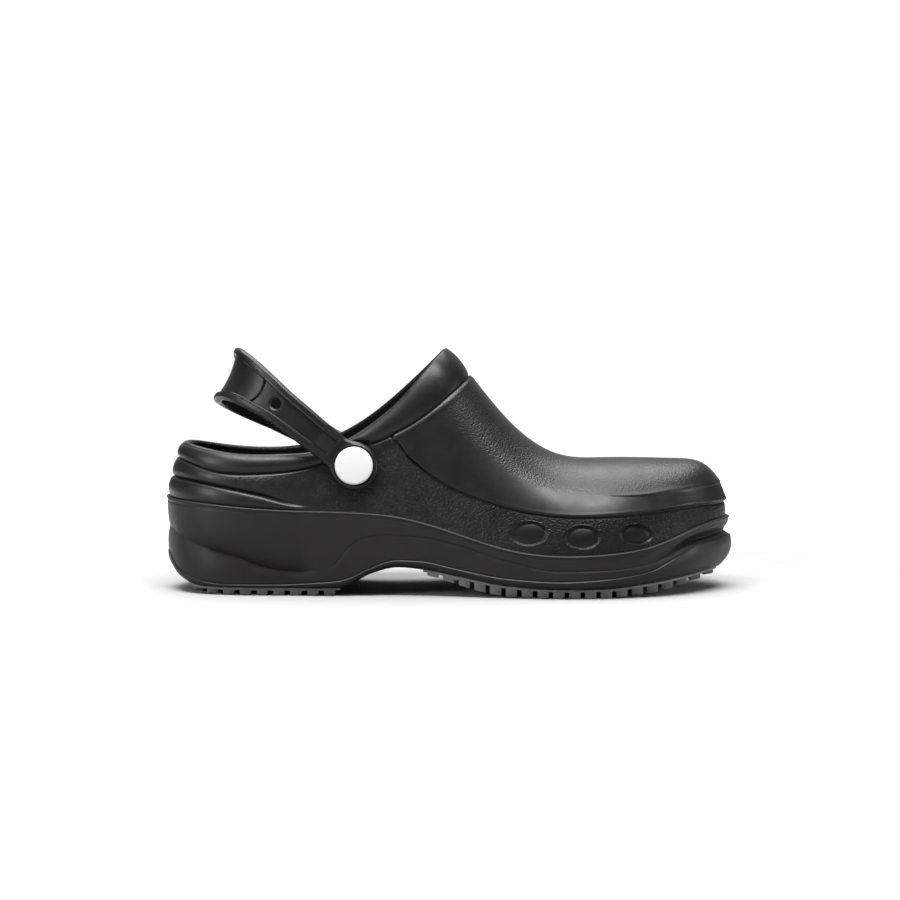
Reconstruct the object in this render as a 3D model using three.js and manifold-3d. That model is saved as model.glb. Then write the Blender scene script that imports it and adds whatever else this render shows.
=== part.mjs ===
// Chef clog for the right foot: a foam upper and sole, two rubber treads, an insole and a riveted heel strap.
// Millimetres. While the clog is shaped, x runs from the heel to the toe, -y is the outer side and z is up.
import * as THREE from 'three';
import { mergeVertices } from 'three/addons/utils/BufferGeometryUtils.js';
import Module from 'manifold-3d';

const wasm = await Module();
wasm.setup();

// Driving dimensions of the last, the upper and the sole
const LENGTH = 282; // heel to toe, outside
const BALL_WIDTH = 105; // outside, at the widest place of the forefoot
const SOLE_RISE = 46; // from the floor to the sole line beside the heel
const INSTEP_RISE = 88; // from the sole line to the peak of the collar
const WALL = 3.6; // foam wall of the upper
const FLANGE = 1.5; // how far the sole stands out past the upper
const GAP = 0.3; // clearance between pieces that seat on each other
const RIM_ROLL = 1.7; // how far the rolled collar stands proud
const PANEL_STEP = 1.3; // how far the vamp stands proud of the side wall
const RIB = 1.2; // height of the two ribs round the heel
const GROOVE = 0.9; // depth of the grooves between them
const SEAT_RIM = 6; // width of the sole's seat under the upper
const WELL_SLOPE = 1; // run of the sloped side of the insole's well
const INSOLE_THICKNESS = 4;
const SOLE_BULGE = 1.0; // swell of the sole's side between its grooves
const BUMPER = 2.2; // swell of the toe bumper
const LIP = 1.4; // depth of the moulded line round the foot of the sole
const EASE = 1.2; // height over which a moulded edge turns
const BLUNT = 0.4; // the smaller, the boxier an arch of the last

// Driving dimensions of the treads
const PLATE = 1.1; // rubber sheet that carries the lugs
const LUG_PITCH = 14;
const LUG_SHARE = 0.66; // share of the pitch that a lug fills
const LUG_ROOT = 0.5; // how deep a lug is joined into its plate
const TREAD_MARGIN = 1.2; // rubber stays inside the edge of the sole by this much
const HEEL_TREAD = { from: 0.036, to: 0.31 };
const FORE_TREAD = { from: 0.455, to: 0.981 };
const FLAT_FOREFOOT = { from: 0.655, to: 0.755 };
const HEEL_BEVEL = 0.02; // length of the bevelled back edge of the heel tread
const HEEL_SPRING = 0.5; // lift of that edge, and of the toe, as shares of the sole's own height there
const TOE_SPRING = 0.72;
const WAIST_LUG = 2.6; // height of tread that follows the sole behind the ball

// Driving dimensions of the heel strap and its rivets
const PIVOT_AT = 0.336; // share of the length, from the heel
const PIVOT_RISE = 21.8; // above the sole line
const STRAP_REACH = 78; // from the pivot to the middle of the heel band
const STRAP_THICKNESS = 3.8;
const STRAP_RECESS = 1.0;
const BOW_SPREAD = 1.6; // how far the arms stand out to clear the rolled rim
const STRAP_BEAD = 4.5;
const BEAD_SLOPE = 0.8;
const RECESS_END = { from: 0.8, to: 0.9 }; // where the recess fades out toward the pivot
const BOW_SQUARENESS = 2.7; // of the strap seen from above; 2 is an ellipse
const BOSS_RADIUS = 11.5;
const BOSS_STAND = 1.3; // clearance of the flat boss over the crowned wall
const SWING_OUTER = 39; // degrees above level, toward the back
const SWING_INNER = 27.5;
const HEEL_LEAN = 22.5; // degrees from upright, of the band behind the heel
const CAP_RADIUS = 9.2;
const CAP_THICKNESS = 2.2;
const SHANK_RADIUS = 3.4;
const HEAD_RADIUS = 7;
const HEAD_THICKNESS = 1.6;
const HEAD_EDGE = 1; // rounding of the head
const EYELET_RADIUS = 2.7;
const EYELET_REACH = 49.5; // from the pivot, along the outer arm

// Driving dimensions of the blind oval vents
const VENT_DEPTH = 1.2;
const VENT_DOME = 1.0;
const VENT_RIM = 0.8;

// Facets
const HALF_COLUMNS = 31;
const COLUMNS = 2 * HALF_COLUMNS;
const COLLAR_PULL = 1.8; // crowds the columns of the collar toward the toe
const CORE = 13; // the face that closes a loop starts this far inside it
const STRAP_STEPS = 24;
const ROUND = 20; // sides of a rivet or a cap
const TINY = 1e-4;

// Sections of the last: places and widths as shares of LENGTH and BALL_WIDTH, heights of SOLE_RISE and INSTEP_RISE
const SECTIONS = [
  { at: 0.0, half: 0.0, middle: 0.0, soleLine: 1.02, arch: 0.0, pinch: 0.2 },
  { at: 0.009, half: 0.23, middle: 0.0, soleLine: 1.0, arch: 0.151, pinch: 0.2 },
  { at: 0.038, half: 0.467, middle: -0.006, soleLine: 0.989, arch: 0.386, pinch: 0.25 },
  { at: 0.095, half: 0.65, middle: -0.018, soleLine: 0.965, arch: 0.614, pinch: 0.3 },
  { at: 0.174, half: 0.723, middle: -0.024, soleLine: 0.928, arch: 0.83, pinch: 0.35 },
  { at: 0.263, half: 0.72, middle: -0.047, soleLine: 0.907, arch: 1.034, pinch: 0.4 },
  { at: 0.353, half: 0.707, middle: -0.069, soleLine: 0.889, arch: 1.165, pinch: 0.42 },
  { at: 0.432, half: 0.723, middle: -0.084, soleLine: 0.826, arch: 1.125, pinch: 0.4 },
  { at: 0.514, half: 0.805, middle: -0.069, soleLine: 0.683, arch: 0.931, pinch: 0.3 },
  { at: 0.604, half: 0.922, middle: -0.049, soleLine: 0.522, arch: 0.668, pinch: 0.18 },
  { at: 0.694, half: 0.996, middle: -0.037, soleLine: 0.461, arch: 0.505, pinch: 0.06 },
  { at: 0.772, half: 0.994, middle: -0.024, soleLine: 0.478, arch: 0.474, pinch: 0.0 },
  { at: 0.848, half: 0.898, middle: 0.014, soleLine: 0.543, arch: 0.439, pinch: 0.0 },
  { at: 0.905, half: 0.751, middle: 0.063, soleLine: 0.657, arch: 0.374, pinch: 0.0 },
  { at: 0.952, half: 0.535, middle: 0.11, soleLine: 0.743, arch: 0.308, pinch: 0.0 },
  { at: 0.984, half: 0.298, middle: 0.141, soleLine: 0.774, arch: 0.191, pinch: 0.0 },
  { at: 1.0, half: 0.0, middle: 0.155, soleLine: 0.78, arch: 0.0, pinch: 0.0 },
];

// Collar edge and the lower edge of its rolled rim: rises above the sole line as shares of INSTEP_RISE
const COLLAR_LINES = [
  { at: 0.009, collar: 0.318, rim: 0.236 },
  { at: 0.038, collar: 0.303, rim: 0.215 },
  { at: 0.095, collar: 0.282, rim: 0.176 },
  { at: 0.174, collar: 0.284, rim: 0.19 },
  { at: 0.263, collar: 0.332, rim: 0.24 },
  { at: 0.353, collar: 0.481, rim: 0.359 },
  { at: 0.432, collar: 0.725, rim: 0.515 },
  { at: 0.514, collar: 1.047, rim: 0.8 },
  { at: 0.604, collar: 1.375, rim: 1.159 },
];

// One line round the wall: the groove between the heel ribs, then the lower edge of the raised vamp
const WALL_LINE = [
  { at: 0.0, rise: 0.123 },
  { at: 0.038, rise: 0.123 },
  { at: 0.095, rise: 0.102 },
  { at: 0.174, rise: 0.076 },
  { at: 0.235, rise: 0.032 },
  { at: 0.263, rise: 0.027 },
  { at: 0.3, rise: 0.068 },
  { at: 0.353, rise: 0.193 },
  { at: 0.4, rise: 0.352 },
  { at: 0.424, rise: 0.405 },
  { at: 0.452, rise: 0.338 },
  { at: 0.491, rise: 0.3 },
  { at: 0.53, rise: 0.261 },
  { at: 0.606, rise: 0.228 },
  { at: 0.682, rise: 0.209 },
  { at: 0.76, rise: 0.199 },
  { at: 0.838, rise: 0.184 },
  { at: 0.879, rise: 0.166 },
  { at: 0.92, rise: 0.13 },
  { at: 0.99, rise: 0.09 },
  { at: 1.0, rise: 0.085 },
];

// Lines round the side of the sole and its two faces: heights as shares of SOLE_RISE
const SOLE_LINES = [
  { at: 0.0, wave: 0.717, lip: 0.43, base: 0.124, floor: 0.88, tuck: 0.17 },
  { at: 0.02, wave: 0.66, lip: 0.29, base: 0.098, floor: 0.878, tuck: 0.14 },
  { at: 0.038, wave: 0.61, lip: 0.213, base: 0.08, floor: 0.876, tuck: 0.11 },
  { at: 0.07, wave: 0.56, lip: 0.143, base: 0.075, floor: 0.872, tuck: 0.08 },
  { at: 0.11, wave: 0.5, lip: 0.12, base: 0.075, floor: 0.862, tuck: 0.065 },
  { at: 0.2, wave: 0.333, lip: 0.122, base: 0.075, floor: 0.836, tuck: 0.065 },
  { at: 0.24, wave: 0.291, lip: 0.133, base: 0.075, floor: 0.82, tuck: 0.065 },
  { at: 0.267, wave: 0.309, lip: 0.146, base: 0.075, floor: 0.81, tuck: 0.065 },
  { at: 0.306, wave: 0.45, lip: 0.165, base: 0.08, floor: 0.793, tuck: 0.07 },
  { at: 0.325, wave: 0.56, lip: 0.196, base: 0.105, floor: 0.785, tuck: 0.08 },
  { at: 0.36, wave: 0.652, lip: 0.295, base: 0.225, floor: 0.765, tuck: 0.1 },
  { at: 0.41, wave: 0.66, lip: 0.39, base: 0.3, floor: 0.717, tuck: 0.11 },
  { at: 0.455, wave: 0.632, lip: 0.38, base: 0.278, floor: 0.64, tuck: 0.1 },
  { at: 0.51, wave: 0.567, lip: 0.313, base: 0.217, floor: 0.538, tuck: 0.085 },
  { at: 0.6, wave: 0.402, lip: 0.216, base: 0.124, floor: 0.413, tuck: 0.07 },
  { at: 0.69, wave: 0.302, lip: 0.187, base: 0.092, floor: 0.365, tuck: 0.065 },
  { at: 0.77, wave: 0.312, lip: 0.213, base: 0.098, floor: 0.362, tuck: 0.065 },
  { at: 0.845, wave: 0.36, lip: 0.28, base: 0.137, floor: 0.38, tuck: 0.065 },
  { at: 0.885, wave: 0.445, lip: 0.39, base: 0.165, floor: 0.398, tuck: 0.065 },
  { at: 0.93, wave: 0.565, lip: 0.515, base: 0.2, floor: 0.42, tuck: 0.065 },
  { at: 1.0, wave: 0.617, lip: 0.567, base: 0.237, floor: 0.456, tuck: 0.075 },
];

// Half width of the strap along its way from the pivot (0) to the middle of the heel band (1), over STRAP_REACH
const STRAP_WIDTHS = [
  { at: 0.0, half: 0.105 },
  { at: 0.2, half: 0.106 },
  { at: 0.45, half: 0.118 },
  { at: 0.7, half: 0.15 },
  { at: 1.0, half: 0.175 },
];

// Centres of the oval vents as shares of LENGTH, of the way up the side wall, and their sizes in mm
const VENTS = [
  { at: 0.642, up: 0.53, halfLength: 8.2, halfHeight: 5.8 },
  { at: 0.734, up: 0.5, halfLength: 7.6, halfHeight: 5.6 },
  { at: 0.825, up: 0.44, halfLength: 6.9, halfHeight: 4.8 },
];

// Radius and height of the cap over its rivet, as shares of its size
const CAP_PROFILE = [[0, 0], [0.97, 0], [1, 0.23], [0.98, 0.64], [0.89, 0.91], [0.6, 1], [0, 1]];

const { clamp, degToRad, lerp, smoothstep } = THREE.MathUtils;
const heelX = FLANGE;
const upperLength = LENGTH - 2 * FLANGE;
const upperHalf = BALL_WIDTH / 2 - FLANGE;

// Curves through a table
const station = (at) => Math.acos(1 - 2 * clamp(at, 0, 1)) / Math.PI;
const share = (x) => clamp((x - heelX) / upperLength, 0, 1);

/** Natural cubic spline through one column; the stations keep round ends round. */
function curve(rows, column, scale) {
  const t = rows.map((row) => station(row.at));
  const v = rows.map((row) => row[column] * scale);
  const n = t.length;
  const bend = new Array(n).fill(0);
  const spare = new Array(n).fill(0);
  for (let i = 1; i < n - 1; i++) {
    const weight = (t[i] - t[i - 1]) / (t[i + 1] - t[i - 1]);
    const pivot = weight * bend[i - 1] + 2;
    const turn = (v[i + 1] - v[i]) / (t[i + 1] - t[i]) - (v[i] - v[i - 1]) / (t[i] - t[i - 1]);
    bend[i] = (weight - 1) / pivot;
    spare[i] = ((6 * turn) / (t[i + 1] - t[i - 1]) - weight * spare[i - 1]) / pivot;
  }
  for (let i = n - 2; i > 0; i--) bend[i] = bend[i] * bend[i + 1] + spare[i];
  bend[0] = 0;
  return (x) => {
    const s = clamp(station(share(x)), t[0], t[n - 1]);
    const i = clamp(t.findIndex((knot) => knot > s) - 1, 0, n - 2) || (s >= t[n - 1] ? n - 2 : 0);
    const step = t[i + 1] - t[i];
    const a = (t[i + 1] - s) / step;
    const b = 1 - a;
    const sag = ((a ** 3 - a) * bend[i] + (b ** 3 - b) * bend[i + 1]) * (step ** 2 / 6);
    return a * v[i] + b * v[i + 1] + sag;
  };
}

/** Curve through one column that never swings past its rows, for moulded lines with tight turns. */
function line(rows, column, scale, place = share) {
  const t = rows.map((row) => row.at);
  const v = rows.map((row) => row[column] * scale);
  const n = t.length;
  const slope = t.map((_, i) => {
    if (i === 0 || i === n - 1) return 0;
    const before = (v[i] - v[i - 1]) / (t[i] - t[i - 1]);
    const after = (v[i + 1] - v[i]) / (t[i + 1] - t[i]);
    return before * after > 0 ? (2 * before * after) / (before + after) : 0;
  });
  return (x) => {
    const s = clamp(place(x), t[0], t[n - 1]);
    const next = t.findIndex((knot) => knot >= s);
    const i = Math.max(next - 1, 0);
    const step = t[i + 1] - t[i];
    const f = (s - t[i]) / step;
    const rise = f * f * (3 - 2 * f);
    const swing = step * (slope[i] * (f ** 3 - 2 * f * f + f) + slope[i + 1] * (f ** 3 - f * f));
    return v[i] + (v[i + 1] - v[i]) * rise + swing;
  };
}

const last = {
  half: curve(SECTIONS, 'half', upperHalf),
  middle: curve(SECTIONS, 'middle', upperHalf),
  soleLine: curve(SECTIONS, 'soleLine', SOLE_RISE),
  arch: curve(SECTIONS, 'arch', INSTEP_RISE),
  pinch: curve(SECTIONS, 'pinch', 1),
  collar: curve(COLLAR_LINES, 'collar', INSTEP_RISE),
  rim: curve(COLLAR_LINES, 'rim', INSTEP_RISE),
  wallLine: line(WALL_LINE, 'rise', INSTEP_RISE),
  wave: line(SOLE_LINES, 'wave', SOLE_RISE),
  lip: line(SOLE_LINES, 'lip', SOLE_RISE),
  base: line(SOLE_LINES, 'base', SOLE_RISE),
  floor: line(SOLE_LINES, 'floor', SOLE_RISE),
  tuck: line(SOLE_LINES, 'tuck', SOLE_RISE),
};

// The last: every section is an arch over the sole line
/** Share of the half width that an arch keeps at a share of its height. */
function archWidth(x, up) {
  const u = clamp(up, 0, 1);
  return (1 - u * u) ** BLUNT * (1 - last.pinch(x) * u * (1 - u));
}

/** Share of the arch's height over a place that lies at a share of its half width. */
function archHeight(x, across) {
  let low = 0;
  let high = 1;
  for (let i = 0; i < 40; i++) {
    const middle = (low + high) / 2;
    if (archWidth(x, middle) > across) low = middle;
    else high = middle;
  }
  return (low + high) / 2;
}

/** Point of the last over a place in plan. */
function lastOver(x, y) {
  const across = clamp(Math.abs(y - last.middle(x)) / Math.max(last.half(x), TINY), 0, 1);
  return new THREE.Vector3(x, y, last.soleLine(x) + last.arch(x) * archHeight(x, across));
}

/** Point of the last at a height above the sole line. side is -1 on the outer side and 1 on the inner side. */
function lastAt(x, rise, side) {
  const up = rise / Math.max(last.arch(x), TINY);
  const y = last.middle(x) + side * last.half(x) * archWidth(x, up);
  return new THREE.Vector3(x, y, last.soleLine(x) + Math.min(rise, last.arch(x)));
}

/** Place on the centre line where a line round the shoe meets the ridge of the last. */
function ridgeMeets(rise, inside, outside) {
  let near = heelX + inside * upperLength;
  let far = heelX + outside * upperLength;
  for (let i = 0; i < 50; i++) {
    const middle = (near + far) / 2;
    if (last.arch(middle) > rise(middle)) near = middle;
    else far = middle;
  }
  return (near + far) / 2;
}

/** Closed line round the opening at a rise above the sole line, as a function of the way from toe to heel. */
function openingLoop(rise) {
  const front = ridgeMeets(rise, 0.35, 0.65);
  const back = ridgeMeets(rise, 0.12, 0.001);
  return (way, side) => {
    const x = back + ((front - back) * (1 + Math.cos(Math.PI * way ** COLLAR_PULL))) / 2;
    return lastAt(x, rise(x), side);
  };
}

const collarLoop = openingLoop(last.collar);
const rimLoop = openingLoop(last.rim);

// Columns run from the sole line up to the collar, counted from the toe over the outer side to the heel and back
const columnWay = (i) => (i <= HALF_COLUMNS ? i : COLUMNS - i) / HALF_COLUMNS;
const columnSide = (i) => (i <= HALF_COLUMNS ? -1 : 1);

/** Point of the upper's outline at the sole line. */
function footPoint(way, side) {
  const x = heelX + (upperLength * (1 + Math.cos(Math.PI * way))) / 2;
  return new THREE.Vector3(x, last.middle(x) + side * last.half(x), last.soleLine(x));
}

/** Points along the last between two of its points, evenly spaced enough to measure along. */
function wayOver(start, end, steps = 160) {
  const points = [];
  for (let k = 0; k <= steps; k++) {
    const f = (k / steps) ** 3;
    const point = lastOver(lerp(start.x, end.x, f), lerp(start.y, end.y, f));
    points.push(k === 0 ? start.clone() : k === steps ? end.clone() : point);
  }
  return points;
}

/** Resamples a run of points at shares of its length. */
function along(points, shares) {
  const lengths = [0];
  for (let k = 1; k < points.length; k++) lengths.push(lengths[k - 1] + points[k].distanceTo(points[k - 1]));
  const total = lengths[lengths.length - 1];
  return shares.map((part) => {
    const wanted = clamp(part, 0, 1) * total;
    const k = clamp(lengths.findIndex((length) => length >= wanted), 1, points.length - 1);
    const f = (wanted - lengths[k - 1]) / Math.max(lengths[k] - lengths[k - 1], TINY);
    return points[k - 1].clone().lerp(points[k], f);
  });
}

/** Splits a run of points where it first passes above the wall line. */
function splitAtWallLine(points) {
  const above = (p) => p.z - last.soleLine(p.x) - last.wallLine(p.x);
  const k = clamp(points.findIndex((p) => above(p) > 0), 1, points.length - 1);
  const low = above(points[k - 1]);
  const f = clamp(low / (low - above(points[k])), 0, 1);
  const cut = points[k - 1].clone().lerp(points[k], f);
  return [[...points.slice(0, k), cut], [cut, ...points.slice(k)]];
}

// Rows of the upper: where each lies in its zone, and the relief that it carries
const LOW_ROWS = [0, 0.3, 0.62, 0.92];
const HIGH_ROWS = [0, 0.045, 0.1, 0.17, 0.25, 0.34, 0.44, 0.54, 0.63, 0.72, 0.81, 0.89, 0.955];
const RIM_ROWS = [0, 0.14, 0.38, 0.62, 0.86, 1];

const heelRibs = (x) => 1 - smoothstep(share(x), 0.17, 0.27);
const vampStep = (x) => smoothstep(share(x), 0.4, 0.43);
const swell = (f) => Math.sin(Math.PI * clamp(f, 0, 1)) ** 0.7;

/** Relief between the sole line and the wall line. */
function lowRelief(x, f) {
  const edge = smoothstep(f, 0.8, 0.94);
  return RIB * heelRibs(x) * swell(f) - GROOVE * edge * Math.max(heelRibs(x), vampStep(x));
}

/** Relief between the wall line and the rim. */
function highRelief(x, f) {
  const step = PANEL_STEP * vampStep(x) * smoothstep(f, -0.02, 0.05);
  const groove = GROOVE * (1 - smoothstep(f, 0, 0.05)) * Math.max(heelRibs(x), vampStep(x));
  return RIB * heelRibs(x) * swell(f) + step - groove;
}

/** Relief of the rolled rim between its groove and the collar. */
function rimRelief(f) {
  return RIM_ROLL * swell(f * 0.94 + 0.03) - GROOVE * (1 - smoothstep(f, 0, 0.12));
}

/** One column of the upper: points on the last, each with its relief. */
function upperColumn(i) {
  const way = columnWay(i);
  const side = columnSide(i);
  const foot = footPoint(way, side);
  const rimEdge = rimLoop(way, side);
  const collarEdge = collarLoop(way, side);
  const [low, high] = splitAtWallLine(wayOver(foot, rimEdge));
  const rows = [];
  along(low, LOW_ROWS).forEach((point, k) => rows.push({ point, relief: lowRelief(point.x, LOW_ROWS[k]) }));
  along(high, HIGH_ROWS).forEach((point, k) => rows.push({ point, relief: highRelief(point.x, HIGH_ROWS[k]) }));
  const band = RIM_ROWS.map((f) => rimEdge.clone().lerp(collarEdge, f));
  band.forEach((point, k) => rows.push({ point, relief: rimRelief(RIM_ROWS[k]) }));
  return rows;
}

/** Outward directions of a grid of points that closes round the shoe. */
function outward(grid) {
  return grid.map((column, i) => column.map((_, j) => {
    const next = grid[(i + 1) % grid.length][j];
    const before = grid[(i + grid.length - 1) % grid.length][j];
    const up = column[Math.min(j + 1, column.length - 1)];
    const down = column[Math.max(j - 1, 0)];
    const round = next.clone().sub(before);
    return new THREE.Vector3().crossVectors(up.clone().sub(down), round).normalize();
  }));
}

// Solids from loops of points
/** Closed skin over loops of equal length. Without caps, the last loop joins the first. */
function skin(loops, caps) {
  const count = loops[0].length;
  const positions = loops.flat().flatMap((p) => [p.x, p.y, p.z]);
  const faces = [];
  const joins = caps ? loops.length - 1 : loops.length;
  for (let r = 0; r < joins; r++) {
    const here = r * count;
    const there = ((r + 1) % loops.length) * count;
    for (let i = 0; i < count; i++) {
      const j = (i + 1) % count;
      faces.push(here + i, here + j, there + j, here + i, there + j, there + i);
    }
  }
  if (caps) {
    const ladder = (start, flip) => {
      for (let i = 0; i < count / 2; i++) {
        const a = start + i;
        const b = start + i + 1;
        const c = start + (count - i - 1);
        const d = start + ((count - i) % count);
        const sheet = d === a ? [a, c, b] : c === b ? [a, d, b] : [a, d, c, a, c, b];
        faces.push(...(flip ? sheet.reverse() : sheet));
      }
    };
    ladder(0, false);
    ladder((loops.length - 1) * count, true);
  }
  const geometry = new THREE.BufferGeometry();
  geometry.setAttribute('position', new THREE.Float32BufferAttribute(positions, 3));
  geometry.setIndex(faces);
  return geometry;
}

/** Solid for joining and cutting. */
function solid(geometry) {
  const bare = geometry.clone();
  bare.deleteAttribute('normal');
  bare.deleteAttribute('uv');
  const merged = mergeVertices(bare, TINY);
  return new wasm.Manifold(new wasm.Mesh({
    numProp: 3,
    vertProperties: new Float32Array(merged.attributes.position.array),
    triVerts: new Uint32Array(merged.index.array),
  }));
}

/** Geometry of a joined or cut solid. */
function geometryOf(body) {
  const mesh = body.getMesh();
  const geometry = new THREE.BufferGeometry();
  geometry.setAttribute('position', new THREE.BufferAttribute(new Float32Array(mesh.vertProperties), 3));
  geometry.setIndex(new THREE.BufferAttribute(new Uint32Array(mesh.triVerts), 1));
  return geometry;
}

/** Round solid turned from a profile of [radius, height] pairs and set on a seat along its axis. */
function turned(profile, seat, segments = ROUND) {
  const geometry = new THREE.LatheGeometry(profile.map(([r, h]) => new THREE.Vector2(r, h)), segments);
  const turn = new THREE.Quaternion().setFromUnitVectors(new THREE.Vector3(0, 1, 0), seat.axis);
  return geometry.applyQuaternion(turn).translate(seat.point.x, seat.point.y, seat.point.z);
}

const rod = (radius, from, to) => [[0, from], [radius, from], [radius, to], [0, to]];

/** Point of the wall and its outward direction. */
function wallSeat(x, rise, side) {
  const step = 0.5;
  const point = lastAt(x, rise, side);
  const ahead = lastAt(x + step, rise, side).sub(lastAt(x - step, rise, side));
  const up = lastAt(x, rise + step, side).sub(lastAt(x, rise - step, side));
  const axis = new THREE.Vector3().crossVectors(ahead, up).multiplyScalar(-side).normalize();
  return { point, axis };
}

const pivotX = heelX + PIVOT_AT * upperLength;
const pivots = [-1, 1].map((side) => ({ side, ...wallSeat(pivotX, PIVOT_RISE, side) }));

/** Share of the relief that stays: none under the flat boss of the strap. */
function clearOfBoss(point) {
  const nearest = Math.min(...pivots.map((pivot) => pivot.point.distanceTo(point)));
  return smoothstep(nearest, BOSS_RADIUS, BOSS_RADIUS * 1.35);
}

/** Hollow upper, open at the collar and underneath. */
function upper() {
  const columns = Array.from({ length: COLUMNS }, (_, i) => upperColumn(i));
  const base = columns.map((column) => column.map((row) => row.point));
  const normals = outward(base);
  const outer = [];
  const inner = [];
  base[0].forEach((_, j) => {
    outer.push(base.map((column, i) => {
      const relief = columns[i][j].relief * clearOfBoss(column[j]);
      return column[j].clone().addScaledVector(normals[i][j], relief);
    }));
    inner.push(base.map((column, i) => column[j].clone().addScaledVector(normals[i][j], -WALL)));
  });
  const foot = outer[0];
  foot.forEach((p, i) => p.setZ(last.soleLine(base[i][0].x) + GAP));
  inner[0].forEach((p, i) => p.setZ(foot[i].z));
  const top = base.map((column, i) => {
    const edge = column[column.length - 1];
    const rise = edge.clone().sub(column[column.length - 2]).normalize();
    return edge.clone().addScaledVector(normals[i][column.length - 1], -WALL / 2).addScaledVector(rise, WALL / 3);
  });
  const insideRows = inner.filter((_, j) => j % 3 === 0 || j === inner.length - 1);
  let body = solid(skin([...insideRows, top, ...outer.reverse()], false));
  for (const pivot of pivots) {
    body = body.subtract(solid(turned(rod(SHANK_RADIUS + GAP, -WALL * 3, WALL * 3), pivot)));
  }
  for (const side of [-1, 1]) {
    for (const vent of VENTS) body = ventedWall(body, vent, side);
  }
  return geometryOf(body);
}

/** Cuts one shallow oval recess and sets the domed floor in it. */
function ventedWall(body, vent, side) {
  const x = heelX + vent.at * upperLength;
  const seat = wallSeat(x, vent.up * last.wallLine(x), side);
  const oval = (geometry, grow) => {
    const ahead = new THREE.Vector3(1, 0, 0).addScaledVector(seat.axis, -seat.axis.x).normalize();
    const up = new THREE.Vector3().crossVectors(ahead, seat.axis).multiplyScalar(-side);
    const place = new THREE.Matrix4().makeBasis(ahead.multiplyScalar(vent.halfLength + grow), up.clone()
      .multiplyScalar(vent.halfHeight + grow), seat.axis).setPosition(seat.point);
    geometry.applyMatrix4(place);
    if (place.determinant() < 0) {
      const order = geometry.index.array;
      for (let k = 0; k < order.length; k += 3) [order[k], order[k + 1]] = [order[k + 1], order[k]];
    }
    return solid(geometry);
  };
  const disc = new THREE.CylinderGeometry(1, 1, 2 * VENT_DEPTH + 4, 14).rotateX(Math.PI / 2);
  disc.translate(0, 0, 2);
  const dome = new THREE.SphereGeometry(1, 10, 6).scale(1, 1, VENT_DOME + 0.5).translate(0, 0, -VENT_DEPTH - 0.4);
  return body.subtract(oval(disc, 0)).add(oval(dome, -VENT_RIM));
}

// The sole
const base2D = Array.from({ length: COLUMNS }, (_, i) => footPoint(columnWay(i), columnSide(i)));

/** Outward direction in plan at a column. */
function planNormal(i) {
  const next = base2D[(i + 1) % COLUMNS];
  const before = base2D[(i + COLUMNS - 1) % COLUMNS];
  return new THREE.Vector3(before.y - next.y, next.x - before.x, 0).normalize();
}

/** Loop round the shoe, set out from the upper's outline, at a height given for each place along it. */
function ring(out, height) {
  return base2D.map((p, i) => p.clone().addScaledVector(planNormal(i), out(p.x)).setZ(height(p.x)));
}

const toeward = (x) => smoothstep(share(x), 0.82, 0.93);
const constant = (value) => () => value;

/** Sole with its seat for the upper, the well for the insole and its moulded side. */
function sole() {
  const { soleLine, wave, lip, base, floor, tuck } = last;
  const between = (a, b, f) => (x) => lerp(a(x), b(x), f);
  const bumper = (x) => lerp(0.1 * BUMPER, BUMPER, toeward(x));
  const well = SEAT_RIM + WELL_SLOPE;
  return skin([
    ring(constant(-well - CORE), floor),
    ring(constant(-well), floor),
    ring(constant(-SEAT_RIM), soleLine),
    ring(constant(FLANGE * 0.5), soleLine),
    ring(constant(FLANGE), (x) => soleLine(x) - EASE),
    ring(constant(FLANGE), between(soleLine, wave, 0.55)),
    ring(constant(FLANGE * 0.75), (x) => wave(x) + EASE),
    ring((x) => FLANGE * 0.2 - GROOVE * toeward(x), wave),
    ring(constant(FLANGE + SOLE_BULGE * 0.2), between(wave, lip, 0.3)),
    ring(constant(FLANGE + SOLE_BULGE * 0.4), between(wave, lip, 0.65)),
    ring((x) => FLANGE - LIP * 0.7 * toeward(x), (x) => lip(x) + EASE / 2),
    ring(constant(FLANGE - LIP), lip),
    ring((x) => FLANGE - LIP * 0.6 + bumper(x) * 0.8, between(lip, base, 0.3)),
    ring((x) => bumper(x) - tuck(x) * 0.3, between(lip, base, 0.65)),
    ring((x) => -tuck(x), base),
    ring((x) => -tuck(x) - CORE, base),
  ], true);
}

/** Insole that fills the well of the sole. */
function insole() {
  const bottom = (x) => last.floor(x) + GAP;
  const top = (x) => bottom(x) + INSOLE_THICKNESS;
  const reach = SEAT_RIM + WELL_SLOPE + GAP;
  return skin([
    ring(constant(-reach - WELL_SLOPE - CORE), top),
    ring(constant(-reach - WELL_SLOPE), top),
    ring(constant(-reach), bottom),
    ring(constant(-reach - CORE), bottom),
  ], true);
}

// The treads
/** Ground under the shoe: level at heel and ball, sprung at the toe, and following the sole behind the ball. */
function ground(x) {
  const at = share(x);
  const depth = last.base(x);
  const toeLift = smoothstep(at, FLAT_FOREFOOT.to, 1) * depth * TOE_SPRING;
  const heelLift = (1 - smoothstep(at, HEEL_TREAD.from, HEEL_TREAD.from + HEEL_BEVEL)) * depth * HEEL_SPRING;
  const behindBall = 1 - smoothstep(at, FORE_TREAD.from, FLAT_FOREFOOT.from);
  const waist = behindBall * smoothstep(at, HEEL_TREAD.to, FORE_TREAD.from);
  return Math.max(waist * (depth - WAIST_LUG), toeLift, heelLift, 0);
}

const bottomEdge = ring((x) => -last.tuck(x), last.base);
const outerEdge = bottomEdge.slice(0, HALF_COLUMNS + 1);
const innerEdge = [bottomEdge[0], ...bottomEdge.slice(HALF_COLUMNS).reverse()];

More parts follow.
